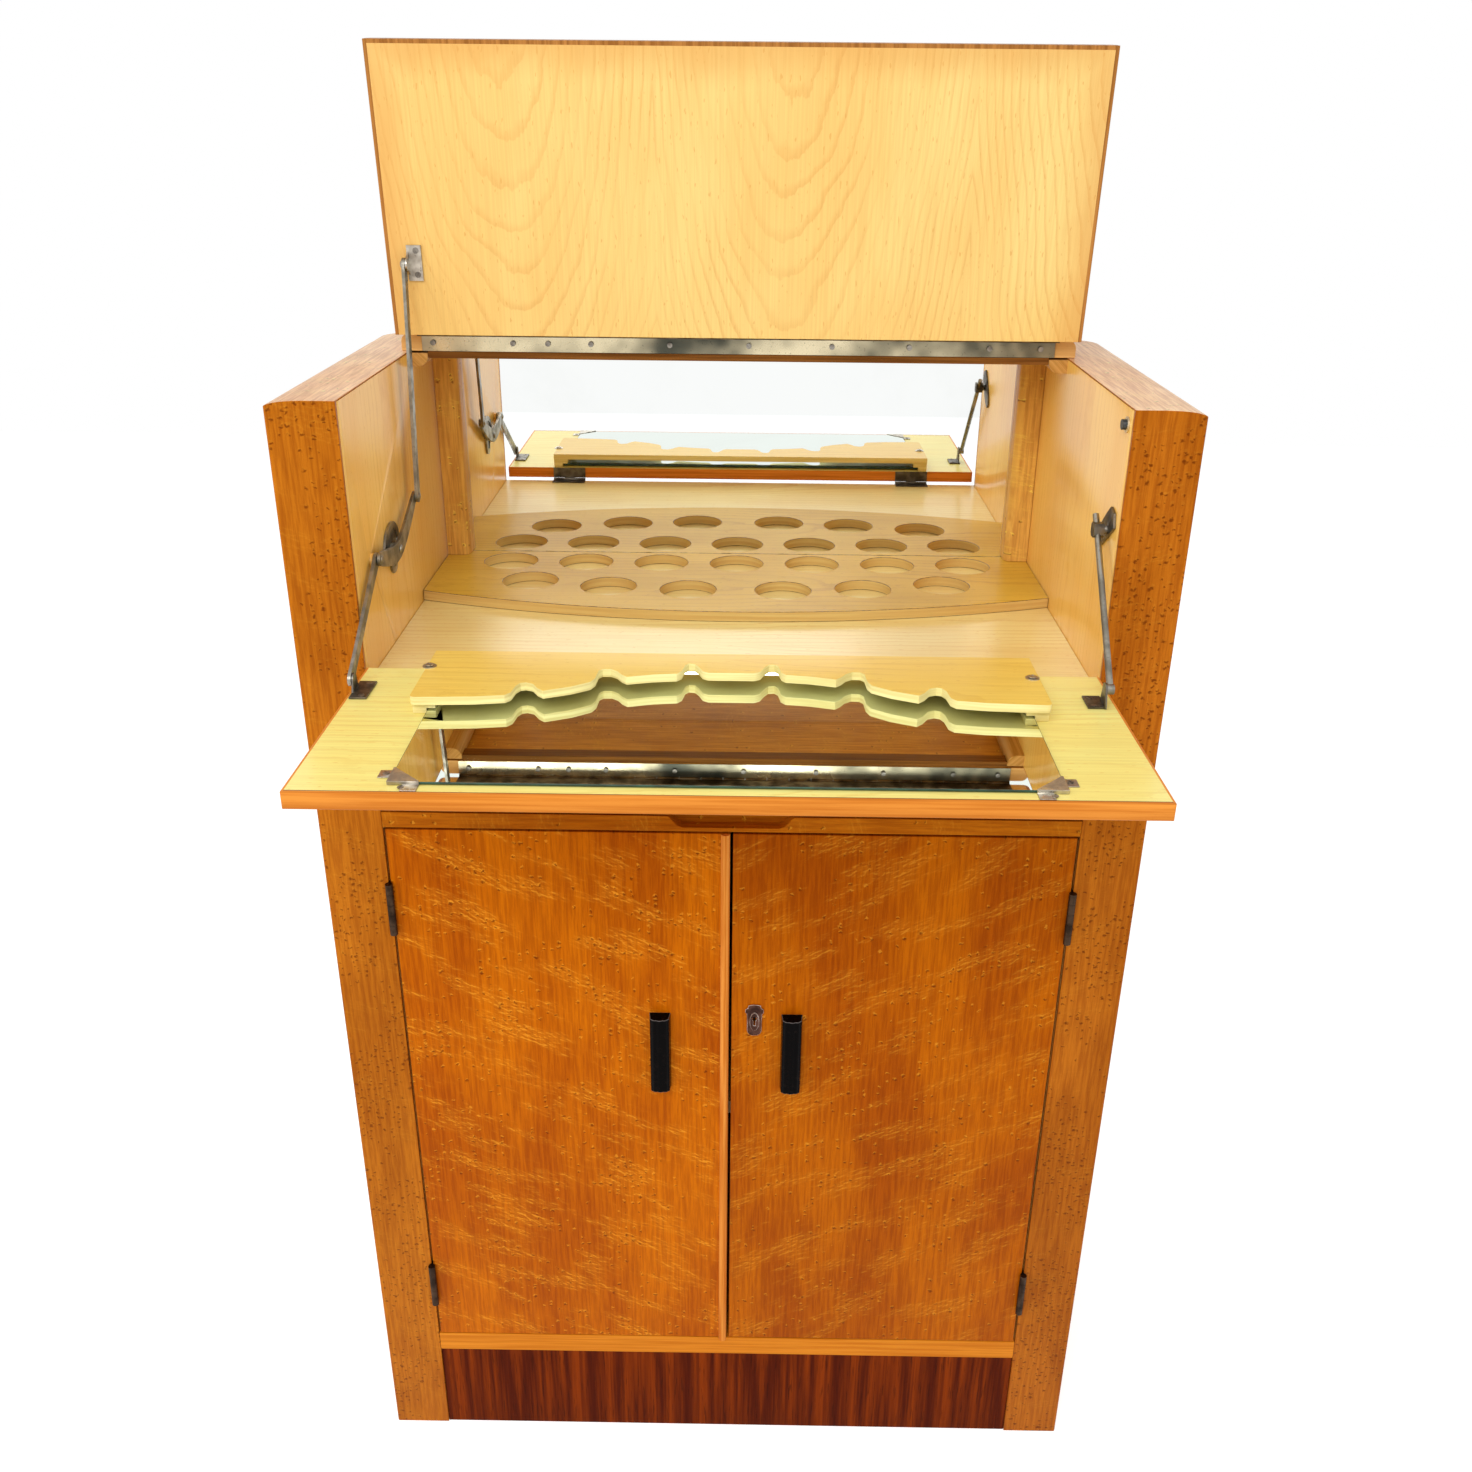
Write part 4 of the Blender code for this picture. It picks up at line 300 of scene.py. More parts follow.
def birdseye_maple(
    name, across, along, deep, light, lean, curled, crowded, centre=(0, 0, 0), glow=0.5
):
    """Birdseye maple: fine streaks up the grain, leaning wisps of curl, and small dark eyes, with painted
    light and shade on the curl and painted highlights over the eyes.

    Curled says how strong the curl is, crowded how many eyes there are, and glow how strongly
    each eye's painted highlight is laid on.
    """
    made, tree, shader = polish(name, 0.34, sheen=0.14)
    shader.inputs["Specular Tint"].default_value = lacquer
    # Pale lightens the curl's patches and is also laid on as painted highlights; dark is only painted
    # shade on the curl's shaded flanks.
    pale = (min(1.0, 1.25 * light[0] + 0.16), 1.5 * light[1] + 0.15, light[2] + 0.022, 1)
    dark = (0.72 * deep[0], 0.5 * deep[1], 0.5 * deep[2], 1)
    dark_eye = (0.36 * deep[0], 0.24 * deep[1], 0.3 * deep[2], 1)
    spot = on_board(tree, across, along, centre)
    cloud = between(tree, fibres(tree, spot, 9, 3, 3, 0.6), 0.32, 0.68)
    streak = between(tree, fibres(tree, spot, 260, 14, 4, 0.7), 0.32, 0.68)
    shade = tint(tree, streak, (0.70, 0.60, 0.50, 1), (1.14, 1.24, 1.10, 1))
    colour = tint(tree, 0.68, tint(tree, cloud, deep, light), shade, "MULTIPLY")
    patches, raised_head_or_painted_lit_flank, painted_shaded_flank = curl_figure(tree, spot, lean, curled)
    colour = tint(tree, maths(tree, "MULTIPLY", patches, 0.14), colour, pale)
    # Painted light and shade: each wisp of curl gets a painted lit flank and a painted shaded flank.
    colour = tint(tree, maths(tree, "MULTIPLY", raised_head_or_painted_lit_flank, 0.58), colour, pale)
    colour = tint(tree, maths(tree, "MULTIPLY", painted_shaded_flank, 0.6), colour, dark)
    pit, glint = eye_figure(tree, spot, patches, crowded)
    # A painted highlight over each eye.
    colour = tint(tree, maths(tree, "MULTIPLY", glint, glow), colour, pale)
    colour = tint(tree, maths(tree, "MULTIPLY", pit, 0.85), colour, dark_eye)
    tree.links.new(colour, shader.inputs["Base Color"])
    roughen(tree, shader, streak, 0.00003, 0.2)
    return made


def turning_point(joint_name):
    """The point that a joint turns about."""
    return Vector(next(joint["pos_m"] for joint in frame["joints"] if joint["name"] == joint_name))


def add_piece(name, bm, finishes, body, smooth=35):
    """A finished piece: its mesh closed and turned outwards, dressed, and riding on its body."""
    bmesh.ops.recalc_face_normals(bm, faces=bm.faces)
    mesh = bpy.data.meshes.new(name)
    bm.to_mesh(mesh)
    bm.free()
    for finish in finishes:
        mesh.materials.append(finish)
    mesh.shade_smooth()
    mesh.set_sharp_from_angle(angle=radians(smooth))
    piece = bpy.data.objects.new(name, mesh)
    bpy.context.scene.collection.objects.link(piece)
    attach(piece, body)
    return piece


def whole_copy(node_name):
    """A node's solid with its loose triangles merged and its flat faces made whole."""
    bm = bmesh.new()
    bm.from_mesh(frame["nodes"][node_name].data)
    bmesh.ops.remove_doubles(bm, verts=bm.verts, dist=weld)
    bmesh.ops.dissolve_limit(bm, angle_limit=flat_within, verts=bm.verts, edges=bm.edges)
    return bm


def stand_in(node_name, bm, finishes, edge=0.0, segments=2, rim=-1):
    """A finished piece that stands for a node, its edges rounded by so much.

    Rim is the number of the finish that the rounded edges take; -1 leaves them their faces' own.
    """
    body = frame["nodes"][node_name]["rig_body"]
    piece = add_piece(node_name + "_finished", bm, finishes, body)
    if edge:
        bevel = piece.modifiers.new("edge", "BEVEL")
        bevel.width = edge
        bevel.segments = segments
        bevel.limit_method = "ANGLE"
        bevel.angle_limit = rounded_from
        bevel.harden_normals = True
        bevel.material = rim
    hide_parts(node_name)


def facing(bm, way, least=0.9):
    """The faces whose normals point a given way."""
    bmesh.ops.recalc_face_normals(bm, faces=bm.faces)
    return [face for face in bm.faces if face.normal.dot(Vector(way)) > least]


left_side_veneer = birdseye_maple(
    "left_side_birdseye", "XY", "Z", (0.42, 0.112, 0.006, 1), (0.54, 0.158, 0.010, 1),
    lean=radians(15), curled=0.16, crowded=2.8, centre=(0.31, 0.17, 0.4), glow=0.08,
)
right_side_veneer = birdseye_maple(
    "right_side_birdseye", "XY", "Z", (0.38, 0.094, 0.005, 1), (0.49, 0.134, 0.009, 1),
    lean=radians(-15), curled=0.16, crowded=2.8, centre=(-0.27, 0.11, 0.3), glow=0.08,
)
# Painted light: the tops are painted paler and pinker than the sides.
top_veneer_painted_lighter = birdseye_maple(
    "top_birdseye_painted_light", "X", "Y", (0.76, 0.42, 0.22, 1), (0.92, 0.59, 0.37, 1),
    lean=radians(20), curled=0.25, crowded=0.2, centre=(0.1, 0.3, 0),
)
for side, veneer in (("left", left_side_veneer), ("right", right_side_veneer)):
    bm = whole_copy(side + "_side_casing")
    for face in facing(bm, (0, 0, 1), upward_least):
        face.material_index = 1
    stand_in(side + "_side_casing", bm, [veneer, top_veneer_painted_lighter], veneer_edge)

# The inner faces of the sides: pale maple, polished, with the grain upright, each with a thin
# lighter lipping at its front edge. The left one carries the round rest that the links lie on.
# Above cleat_foot, what stands inwards is a cleat of browner maple under the top rail's end.
rings = 190
inner_lip = 0.006
cleat_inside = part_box("left_side_casing")[1][0] + weld
cleat_foot = 1.32


def browned_borders(tree, spot, ends):
    """Rises towards a board's borders, where handling has browned it."""
    parts = node(tree, "ShaderNodeSeparateXYZ", {0: spot}).outputs
    near = maths(tree, "SUBTRACT", parts["X"], ends[0])
    near = maths(tree, "MINIMUM", near, maths(tree, "SUBTRACT", ends[1], parts["X"]))
    near = maths(tree, "MINIMUM", near, maths(tree, "SUBTRACT", parts["Y"], ends[2]))
    near = maths(tree, "MINIMUM", near, maths(tree, "SUBTRACT", ends[3], parts["Y"]))
    handled = fibres(tree, moved_on_board(tree, spot, (0.2, 0.6, 0)), 9, 9, 3, 0.6)
    near = maths(tree, "SUBTRACT", near, maths(tree, "MULTIPLY", handled, 0.03))
    return maths(tree, "MULTIPLY", between(tree, near, 0.028, -0.012), 0.5)


def growth_rings(tree, spot, leaf, arch):
    """Lines that open in arches up each leaf of veneer, every second leaf mirrored."""
    parts = node(tree, "ShaderNodeSeparateXYZ", {0: spot}).outputs
    wander = maths(tree, "SUBTRACT", fibres(tree, spot, 7, 2.4, 2), 0.5)
    wide = maths(tree, "ADD", maths(tree, "MULTIPLY", wander, 0.026), parts["X"])
    folded = maths(tree, "PINGPONG", wide, leaf)
    offset = maths(tree, "SUBTRACT", folded, 0.45 * leaf)
    drift = maths(tree, "SUBTRACT", fibres(tree, spot, 3.2, 3.4, 2), 0.5)
    rise = maths(tree, "MULTIPLY", parts["Y"], arch)
    rise = maths(tree, "ADD", rise, maths(tree, "MULTIPLY", drift, 0.055))
    rise = maths(tree, "ADD", rise, 0.36 * arch)
    squares = maths(tree, "ADD", maths(tree, "POWER", offset, 2.0), maths(tree, "POWER", rise, 2.0))
    jitter = maths(tree, "MULTIPLY", fibres(tree, spot, 60, 30, 3, 0.6), 0.0008)
    grown = maths(tree, "MULTIPLY", maths(tree, "POWER", maths(tree, "ADD", squares, jitter), 0.72), rings)
    ring = maths(tree, "FRACT", grown)
    return maths(tree, "MULTIPLY", between(tree, ring, 0.62, 0.94), between(tree, ring, 1.0, 0.95))


def pale_maple(
    name, across, along, light, deep, line, leaf, arch, centre=(0, 0, 0), turn=(0, 0, 0), ends=None,
    sheen=0.4,
):
    """Sliced maple veneer: leaves matched edge to edge, each with thin lines that open in arches.

    Leaf is a leaf's width, and the smaller arch is, the longer the arches are drawn out.
    Ends are the board's borders from the centre, across and along, where handling has browned it.
    """
    made, tree, shader = polish(name, 0.26, coat=0.25 * sheen, sheen=sheen)
    shader.inputs["Specular Tint"].default_value = (1.0, 0.86, 0.6, 1)
    spot = on_board(tree, across, along, centre, turn)
    colour = tint(tree, between(tree, fibres(tree, spot, 6, 2.2, 3, 0.6), 0.3, 0.7), light, deep)
    faint = between(tree, fibres(tree, moved_on_board(tree, spot, (0.4, 0.3, 0)), 9, 4, 2), 0.28, 0.66)
    faint = maths(tree, "ADD", maths(tree, "MULTIPLY", faint, 0.28), 0.07)
    colour = tint(tree, maths(tree, "MULTIPLY", growth_rings(tree, spot, leaf, arch), faint), colour, line)
    fibre = between(tree, fibres(tree, spot, 420, 5, 3, 0.65), 0.3, 0.7)
    shade = tint(tree, fibre, (0.60, 0.46, 0.32, 1), (1.05, 1.07, 1.1, 1))
    colour = tint(tree, 0.16, colour, shade, "MULTIPLY")
    fleck = between(tree, fibres(tree, spot, 330, 90, 1), 0.73, 0.79)
    colour = tint(tree, maths(tree, "MULTIPLY", fleck, 0.5), colour, line)
    if ends:
        colour = tint(tree, browned_borders(tree, spot, ends), colour, line)
    tree.links.new(colour, shader.inputs["Base Color"])
    roughen(tree, shader, fibre, 0.00003, 0.2)
    return made


def plain_lipping(name, across, along, light, deep, centre=(0, 0, 0), turn=(0, 0, 0)):
    """Solid straight-grained edging, with short darker pores."""
    made, tree, shader = polish(name, 0.4, sheen=0.15)
    shader.inputs["Specular Tint"].default_value = lacquer
    spot = on_board(tree, across, along, centre, turn)
    grain = between(tree, fibres(tree, spot, 240, 5, 3, 0.6), 0.3, 0.7)
    colour = tint(tree, grain, deep, light)
    cloud = between(tree, fibres(tree, spot, 20, 3, 2), 0.35, 0.7)
    colour = tint(tree, maths(tree, "MULTIPLY", cloud, 0.35), colour, deep)
    tree.links.new(colour, shader.inputs["Base Color"])
    roughen(tree, shader, grain, 0.00005, 0.3)
    return made


def split(bm, place, way):
    """Cuts the faces along a plane and keeps both sides."""
    bmesh.ops.bisect_plane(
        bm, geom=bm.verts[:] + bm.edges[:] + bm.faces[:], plane_co=place, plane_no=way
    )


inner_veneer = pale_maple(
    "inner_pale_maple", "Y", "Z", (1.0, 0.64, 0.16, 1), (0.94, 0.54, 0.115, 1), (0.74, 0.36, 0.05, 1),
    leaf=0.21, arch=0.06, centre=(0.06, 0, 0.9),
)
inner_edging = plain_lipping("inner_edging", "Y", "Z", (1.0, 0.68, 0.21, 1), (0.86, 0.50, 0.13, 1))
cleat_maple = plain_lipping("cleat_maple", "XZ", "Y", (0.66, 0.36, 0.11, 1), (0.46, 0.22, 0.05, 1))
for side in ("left", "right"):
    bm = whole_copy(side + "_inner_panel")
    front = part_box(side + "_inner_panel")[0][1] + inner_lip
    split(bm, (0, front, 0), (0, 1, 0))
    for face in bm.faces:
        middle = face.calc_center_median()
        if abs(middle.x) < -cleat_inside and middle.z > cleat_foot:
            face.material_index = 2
        elif middle.y < front:
            face.material_index = 1
    stand_in(side + "_inner_panel", bm, [inner_veneer, inner_edging, cleat_maple], veneer_edge)

# The plinth: a front of walnut veneer with upright stripes, each leaf mirrored in the next,
# fixed to rough rails behind it that nobody sees.
board_edge = 0.0006


def striped_walnut(name, light, deep, leaf):
    """Walnut with dark stripes up the grain and fine pores, every second leaf mirrored."""
    made, tree, shader = polish(name, 0.4, sheen=0.06)
    shader.inputs["Specular Tint"].default_value = lacquer
    spot = on_board(tree, "XY", "Z")
    parts = node(tree, "ShaderNodeSeparateXYZ", {0: spot}).outputs
    folded = maths(tree, "PINGPONG", maths(tree, "ADD", parts["X"], 0.03), leaf)
    matched = node(tree, "ShaderNodeCombineXYZ", {0: folded, 1: parts["Y"]}).outputs[0]
    stripe = between(tree, fibres(tree, matched, 44, 1.4, 4, 0.66), 0.36, 0.70)
    colour = tint(tree, stripe, deep, light)
    narrow = between(tree, fibres(tree, matched, 150, 2.5, 2, 0.6), 0.52, 0.75)
    colour = tint(tree, maths(tree, "MULTIPLY", narrow, 0.5), colour, deep)
    pores = between(tree, fibres(tree, spot, 420, 22, 2), 0.60, 0.72)
    black = tuple(0.3 * part for part in deep[:3]) + (1.0,)
    colour = tint(tree, maths(tree, "MULTIPLY", pores, 0.5), colour, black)
    tree.links.new(colour, shader.inputs["Base Color"])
    roughen(tree, shader, pores, -0.00006, 0.4)
    return made


walnut = striped_walnut("plinth_walnut", (0.26, 0.037, 0.0010, 1), (0.070, 0.005, 0.0002, 1), leaf=0.16)
stand_in("plinth_frame", whole_copy("plinth_frame"), [walnut], board_edge)

# The cupboard: a floor whose front edge is the pale rail above the plinth, a shelf housed in the
# sides, the amber rail under the drawer with its finger scoop, and a plywood back.
thin_edge = 0.0005
rail_maple = plain_lipping("bottom_rail_maple", "ZY", "X", (0.78, 0.27, 0.020, 1), (0.60, 0.17, 0.008, 1))
shelf_maple = pale_maple(
    "shelf_maple", "Y", "X", (0.74, 0.42, 0.14, 1), (0.62, 0.32, 0.09, 1), (0.45, 0.2, 0.05, 1),
    leaf=0.3, arch=0.15,
)
stand_in("bottom_board", whole_copy("bottom_board"), [rail_maple], board_edge)
stand_in("cupboard_shelf", whole_copy("cupboard_shelf"), [shelf_maple], thin_edge)
division_maple = birdseye_maple(
    "division_birdseye", "ZY", "X", (0.41, 0.097, 0.003, 1), (0.53, 0.145, 0.005, 1),
    lean=radians(10), curled=0.3, crowded=0.1,
)
stand_in("division_board", whole_copy("division_board"), [division_maple], board_edge)


def plywood_face(name):
    """Unpolished plywood with open pores."""
    made, tree, shader = polish(name, 0.62)
    spot = on_board(tree, "X", "Z")
    colour = tint(
        tree, between(tree, fibres(tree, spot, 14, 1.5, 4, 0.6), 0.3, 0.7), (0.44, 0.27, 0.13, 1),
        (0.58, 0.38, 0.20, 1),
    )
    pores = between(tree, fibres(tree, spot, 380, 12, 2), 0.60, 0.72)
    colour = tint(tree, maths(tree, "MULTIPLY", pores, 0.35), colour, (0.22, 0.12, 0.05, 1))
    tree.links.new(colour, shader.inputs["Base Color"])
    roughen(tree, shader, pores, -0.00008, 0.4)
    return made


def redress(node_name, finish):
    """Gives a node that keeps its own solid a better finish."""
    for place in frame["nodes"][node_name].material_slots:
        place.material = finish


back_ply = plywood_face("back_plywood")
redress("back_panel", back_ply)
redress("drawer_bottom", back_ply)

# The frieze drawer, shut behind the flap: a veneered front and a plain maple box.
frieze_veneer = birdseye_maple(
    "frieze_birdseye", "Z", "X", (0.42, 0.105, 0.006, 1), (0.56, 0.165, 0.012, 1),
    lean=radians(15), curled=0.4, crowded=0.3, centre=(0.2, 0, 0.1),
)
stand_in("drawer_front", whole_copy("drawer_front"), [frieze_veneer], board_edge)
for name in ("left_drawer_side", "right_drawer_side", "drawer_back"):
    stand_in(name, whole_copy(name), [shelf_maple], thin_edge)

# The floor of the cocktail compartment: glossy pale maple, grain from side to side. Its front
# edge shows between flap and drawer when the flap is shut, and is veneered like them.
floor_maple = pale_maple(
    "floor_maple", "Y", "X", (0.98, 0.84, 0.36, 1), (0.92, 0.72, 0.28, 1), (0.72, 0.42, 0.12, 1),
    leaf=0.26, arch=0.1, centre=(0, 0.05, 0),
)
bm = whole_copy("cocktail_floor")
for face in facing(bm, (0, -1, 0)):
    face.material_index = 1
stand_in("cocktail_floor", bm, [floor_maple, frieze_veneer], board_edge)

# The glass rack: a loose board with a bowed front and thirteen round holes for glasses, worn
# brown along its rims.
rim_wear = 0.0014


def two_finishes(bm, ways):
    """The faces that point one of these ways keep the first finish; the rest take the second."""
    broad = {face for way in ways for face in facing(bm, way)}
    for face in bm.faces:
        face.material_index = 0 if face in broad else 1


rack_maple = pale_maple(
    "rack_maple", "Y", "X", (0.82, 0.54, 0.075, 1), (0.68, 0.42, 0.05, 1), (0.44, 0.19, 0.02, 1),
    leaf=0.22, arch=0.1, centre=(0, 0.12, 0), sheen=0.1,
)
rack_rim = plain_lipping("rack_rim", "Z", "X", (0.74, 0.54, 0.20, 1), (0.62, 0.40, 0.13, 1))
bm = whole_copy("glass_rack")
two_finishes(bm, [(0, 0, 1), (0, 0, -1)])
worn_rim, tree, shader = polish("rack_worn_rim", 0.5)
spot = on_board(tree, "X", "Y")
grime = between(tree, fibres(tree, spot, 130, 130, 3, 0.6), 0.40, 0.62)
tree.links.new(
    tint(tree, grime, (0.10, 0.045, 0.014, 1), (0.34, 0.18, 0.05, 1)), shader.inputs["Base Color"]
)
stand_in("glass_rack", bm, [rack_maple, rack_rim, worn_rim], rim_wear, segments=1, rim=2)

# The mirror across the back of the compartment, and the two round-cornered posts that hold it.
# Just above the glass rack it is painted black in ragged patches, a painted shadow of the rack's rear edge
# and of that edge's reflection.


def silvering(name, tone, painted_shade_below=0.0):
    """Silvered glass; below a height, if one is given, it is painted black in ragged patches as a painted
    shadow.
    """
    made, tree, shader = polish(name, 0.012, metallic=1.0)
    spot = on_board(tree, "XY", "Z")
    haze = between(tree, fibres(tree, spot, 9, 9, 4, 0.6), 0.45, 0.85)
    colour = tint(tree, maths(tree, "MULTIPLY", haze, 0.12), tone, (0.70, 0.72, 0.68, 1))
    if painted_shade_below:
        # Painted shadow: black below the height, its top edge ragged.
        ragged = maths(tree, "MULTIPLY", fibres(tree, spot, 70, 220, 4, 0.7), 0.004)
        height = node(tree, "ShaderNodeSeparateXYZ", {0: spot}).outputs["Y"]
        above = maths(tree, "ADD", maths(tree, "SUBTRACT", height, painted_shade_below), ragged)
        colour = tint(tree, between(tree, above, 0.0024, 0.0014), colour, (0.03, 0.025, 0.02, 1))
    tree.links.new(colour, shader.inputs["Base Color"])
    return made


back_silver = silvering(
    "back_mirror_silvering", (0.95, 0.965, 0.955, 1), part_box("glass_rack")[1][2]
)
redress("back_mirror", back_silver)
post_veneer = birdseye_maple(
    "post_birdseye", "XY", "Z", (0.62, 0.30, 0.06, 1), (0.80, 0.45, 0.11, 1),
    lean=radians(10), curled=0.3, crowded=0.3,
)
for name in ("left_rear_post", "right_rear_post"):
    stand_in(name, whole_copy(name), [post_veneer], thin_edge)

# The rear rail of the top, veneered, with pale end grain where its ends overhang the compartment.
end_clearance = 0.0006
rail_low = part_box("top_rail")[0]
hinge_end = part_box("rail_hinge_leaf")[1][0] + end_clearance
rail_veneer = birdseye_maple(
    "rail_birdseye", "YZ", "X", (0.50, 0.20, 0.032, 1), (0.68, 0.31, 0.06, 1),
    lean=radians(10), curled=0.2, crowded=0.12,
)
end_grain = plain_lipping("rail_end_grain", "Z", "Y", (0.86, 0.52, 0.20, 1), (0.68, 0.36, 0.11, 1))
bm = whole_copy("top_rail")
for side in (-1, 1):
    split(bm, (side * hinge_end, 0, 0), (1, 0, 0))
for face in facing(bm, (0, -1, 0)):
    if abs(face.calc_center_median().x) > hinge_end:
        face.material_index = 1
for face in facing(bm, (1, 0, 0)) + facing(bm, (-1, 0, 0)):
    face.material_index = 1
stand_in("top_rail", bm, [rail_veneer, end_grain], board_edge)

# Under the rail's front runs a narrow brown bearer, glued from cleat to cleat.
bearer_height = 0.0075
bearer_depth = 0.0195
bearer_setback = 0.0005
clearance = 0.0003
bearer_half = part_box("right_inner_panel")[0][0] - clearance
bearer_brown = plain_lipping("bearer_brown", "YZ", "X", (0.26, 0.10, 0.022, 1), (0.13, 0.045, 0.01, 1))
bm = bmesh.new()
bmesh.ops.create_cube(bm, size=1.0)
bmesh.ops.scale(bm, verts=bm.verts, vec=(2 * bearer_half, bearer_depth, bearer_height))
middle = (
    0, rail_low[1] + bearer_setback + bearer_depth / 2, rail_low[2] - clearance - bearer_height / 2
)
bmesh.ops.translate(bm, verts=bm.verts, vec=middle)
add_piece("rail_bearer", bm, [bearer_brown], "cabinet")

# The long hinge between rail and lid: two nickelled strips that meet in knuckles, finely spotted,
# held by countersunk screws. The broad bright and dark patches on the rail's strip are painted
# reflections. Its knuckles and the lid's strip are dark brown.
hinge_axis = turning_point("lid_hinge")
knuckle_radius = 0.0022
screw_drop = 0.001
screw_lines = (-0.3412, -0.2517, -0.2125, -0.1644, -0.0761, 0.0123, 0.1051, 0.1913, 0.2808, 0.3378)
screw_sides = 18
rim_share = 0.45
slot_half = 0.16
slot_sink = 0.45
first_turn, next_turn = 0.5, 2.4


def worn_metal(name, bright, dull, spots, roughness, patches=55.0):
    """Plated steel with cloudy patches, so many to the metre, and fine dark spots; the patches are
    tarnish, except on the rail's hinge strip, where they are painted reflections.
    """
    made, tree, shader = polish(name, roughness, metallic=1.0)
    spot = node(tree, "ShaderNodeTexCoord").outputs["Object"]
    tarnish_or_painted_reflection = node(
        tree, "ShaderNodeTexNoise", {"Vector": spot, "Scale": patches, "Detail": 3.0, "Roughness": 0.55}
    ).outputs["Fac"]
    specks = node(
        tree, "ShaderNodeTexNoise", {"Vector": spot, "Scale": 420.0, "Detail": 3.0, "Roughness": 0.6}
    ).outputs["Fac"]
    colour = tint(tree, between(tree, tarnish_or_painted_reflection, 0.36, 0.64), bright, dull)
    share = maths(tree, "MULTIPLY", between(tree, specks, 0.60, 0.74), 0.6)
    colour = tint(tree, share, colour, spots)
    tree.links.new(colour, shader.inputs["Base Color"])
    rough = maths(tree, "ADD", maths(tree, "MULTIPLY", between(tree, tarnish_or_painted_reflection, 0.3, 0.7), 0.22), roughness)
    tree.links.new(rough, shader.inputs["Roughness"])
    roughen(tree, shader, specks, 0.00005, 0.4)
    return made


def round_head(radius, height, slotted=True):
    """A screw or rivet head lying on z = 0: rounded over, with a slot sunk across it."""
    bm = bmesh.new()
    bmesh.ops.create_circle(bm, cap_ends=True, segments=screw_sides, radius=radius)
    if slotted:
        for side in (-1, 1):
            split(bm, (side * slot_half * radius, 0, 0), (1, 0, 0))
    raised_head_or_painted_lit_flank = bmesh.ops.extrude_face_region(bm, geom=bm.faces[:])
    verts = [part for part in raised_head_or_painted_lit_flank["geom"] if isinstance(part, bmesh.types.BMVert)]
    bmesh.ops.translate(bm, verts=verts, vec=(0, 0, height * rim_share))
    for vert in verts:
        out = Vector((vert.co.x, vert.co.y)).length / radius
        vert.co.z += height * (1 - rim_share) * (1 - out * out)
    if slotted:
        top = [part for part in raised_head_or_painted_lit_flank["geom"] if isinstance(part, bmesh.types.BMFace)]
        slot = [face for face in top if abs(face.calc_center_median().x) < slot_half * radius / 2]
        sunk = bmesh.ops.extrude_face_region(bm, geom=slot)
        verts = [part for part in sunk["geom"] if isinstance(part, bmesh.types.BMVert)]
        bmesh.ops.translate(bm, verts=verts, vec=(0, 0, -height * slot_sink))
        bmesh.ops.delete(bm, geom=slot, context="FACES")
    bmesh.ops.recalc_face_normals(bm, faces=bm.faces)
    return bm


def fix_head(bm, head, place, out, turn=0.0):
    """Adds a head at a place on a surface that faces out, its slot turned."""
    mesh = bpy.data.meshes.new("head")
    head.to_mesh(mesh)
    matrix = Matrix.Translation(place) @ Vector(out).to_track_quat("Z", "Y").to_matrix().to_4x4()
    mesh.transform(matrix @ Matrix.Rotation(turn, 4, "Z"))
    bm.from_mesh(mesh)
    bpy.data.meshes.remove(mesh)


def add_heads(name, places, out, radius, height, finish, body):
    """Screw heads in one piece, each with its slot at an angle of its own."""
    bm = bmesh.new()
    head = round_head(radius, height)
    for i, place in enumerate(places):
        fix_head(bm, head, place, out, first_turn + next_turn * i)
    head.free()
    add_piece(name, bm, [finish], body, smooth=50)


# The strip's broad patches, bright and dark, are painted reflections.
strip_nickel_with_painted_reflections = worn_metal(
    "hinge_strip_painted_reflections", (0.84, 0.72, 0.47, 1), (0.075, 0.075, 0.058, 1), (0.03, 0.025, 0.018, 1),
    0.20, patches=9.0,
)
screw_metal = worn_metal(
    "screw_steel", (0.34, 0.31, 0.27, 1), (0.14, 0.12, 0.10, 1), (0.04, 0.03, 0.025, 1), 0.34
)
knuckle_metal = worn_metal(
    "hinge_knuckle_steel", (0.15, 0.095, 0.05, 1), (0.05, 0.03, 0.016, 1), (0.015, 0.01, 0.006, 1), 0.36
)
bm = whole_copy("rail_hinge_leaf")
for face in bm.faces:
    face.material_index = 1 if face.calc_center_median().z > hinge_axis.z - knuckle_radius else 0
stand_in("rail_hinge_leaf", bm, [strip_nickel_with_painted_reflections, knuckle_metal])
redress("lid_hinge_leaf", knuckle_metal)
strip_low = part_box("rail_hinge_leaf")[0]
strip_middle = (strip_low[2] + hinge_axis.z) / 2 - screw_drop
add_heads(
    "rail_hinge_screws", [(x, strip_low[1], strip_middle) for x in screw_lines], (0, -1, 0),
    radius=0.0030, height=0.0007, finish=screw_metal, body="cabinet",
)

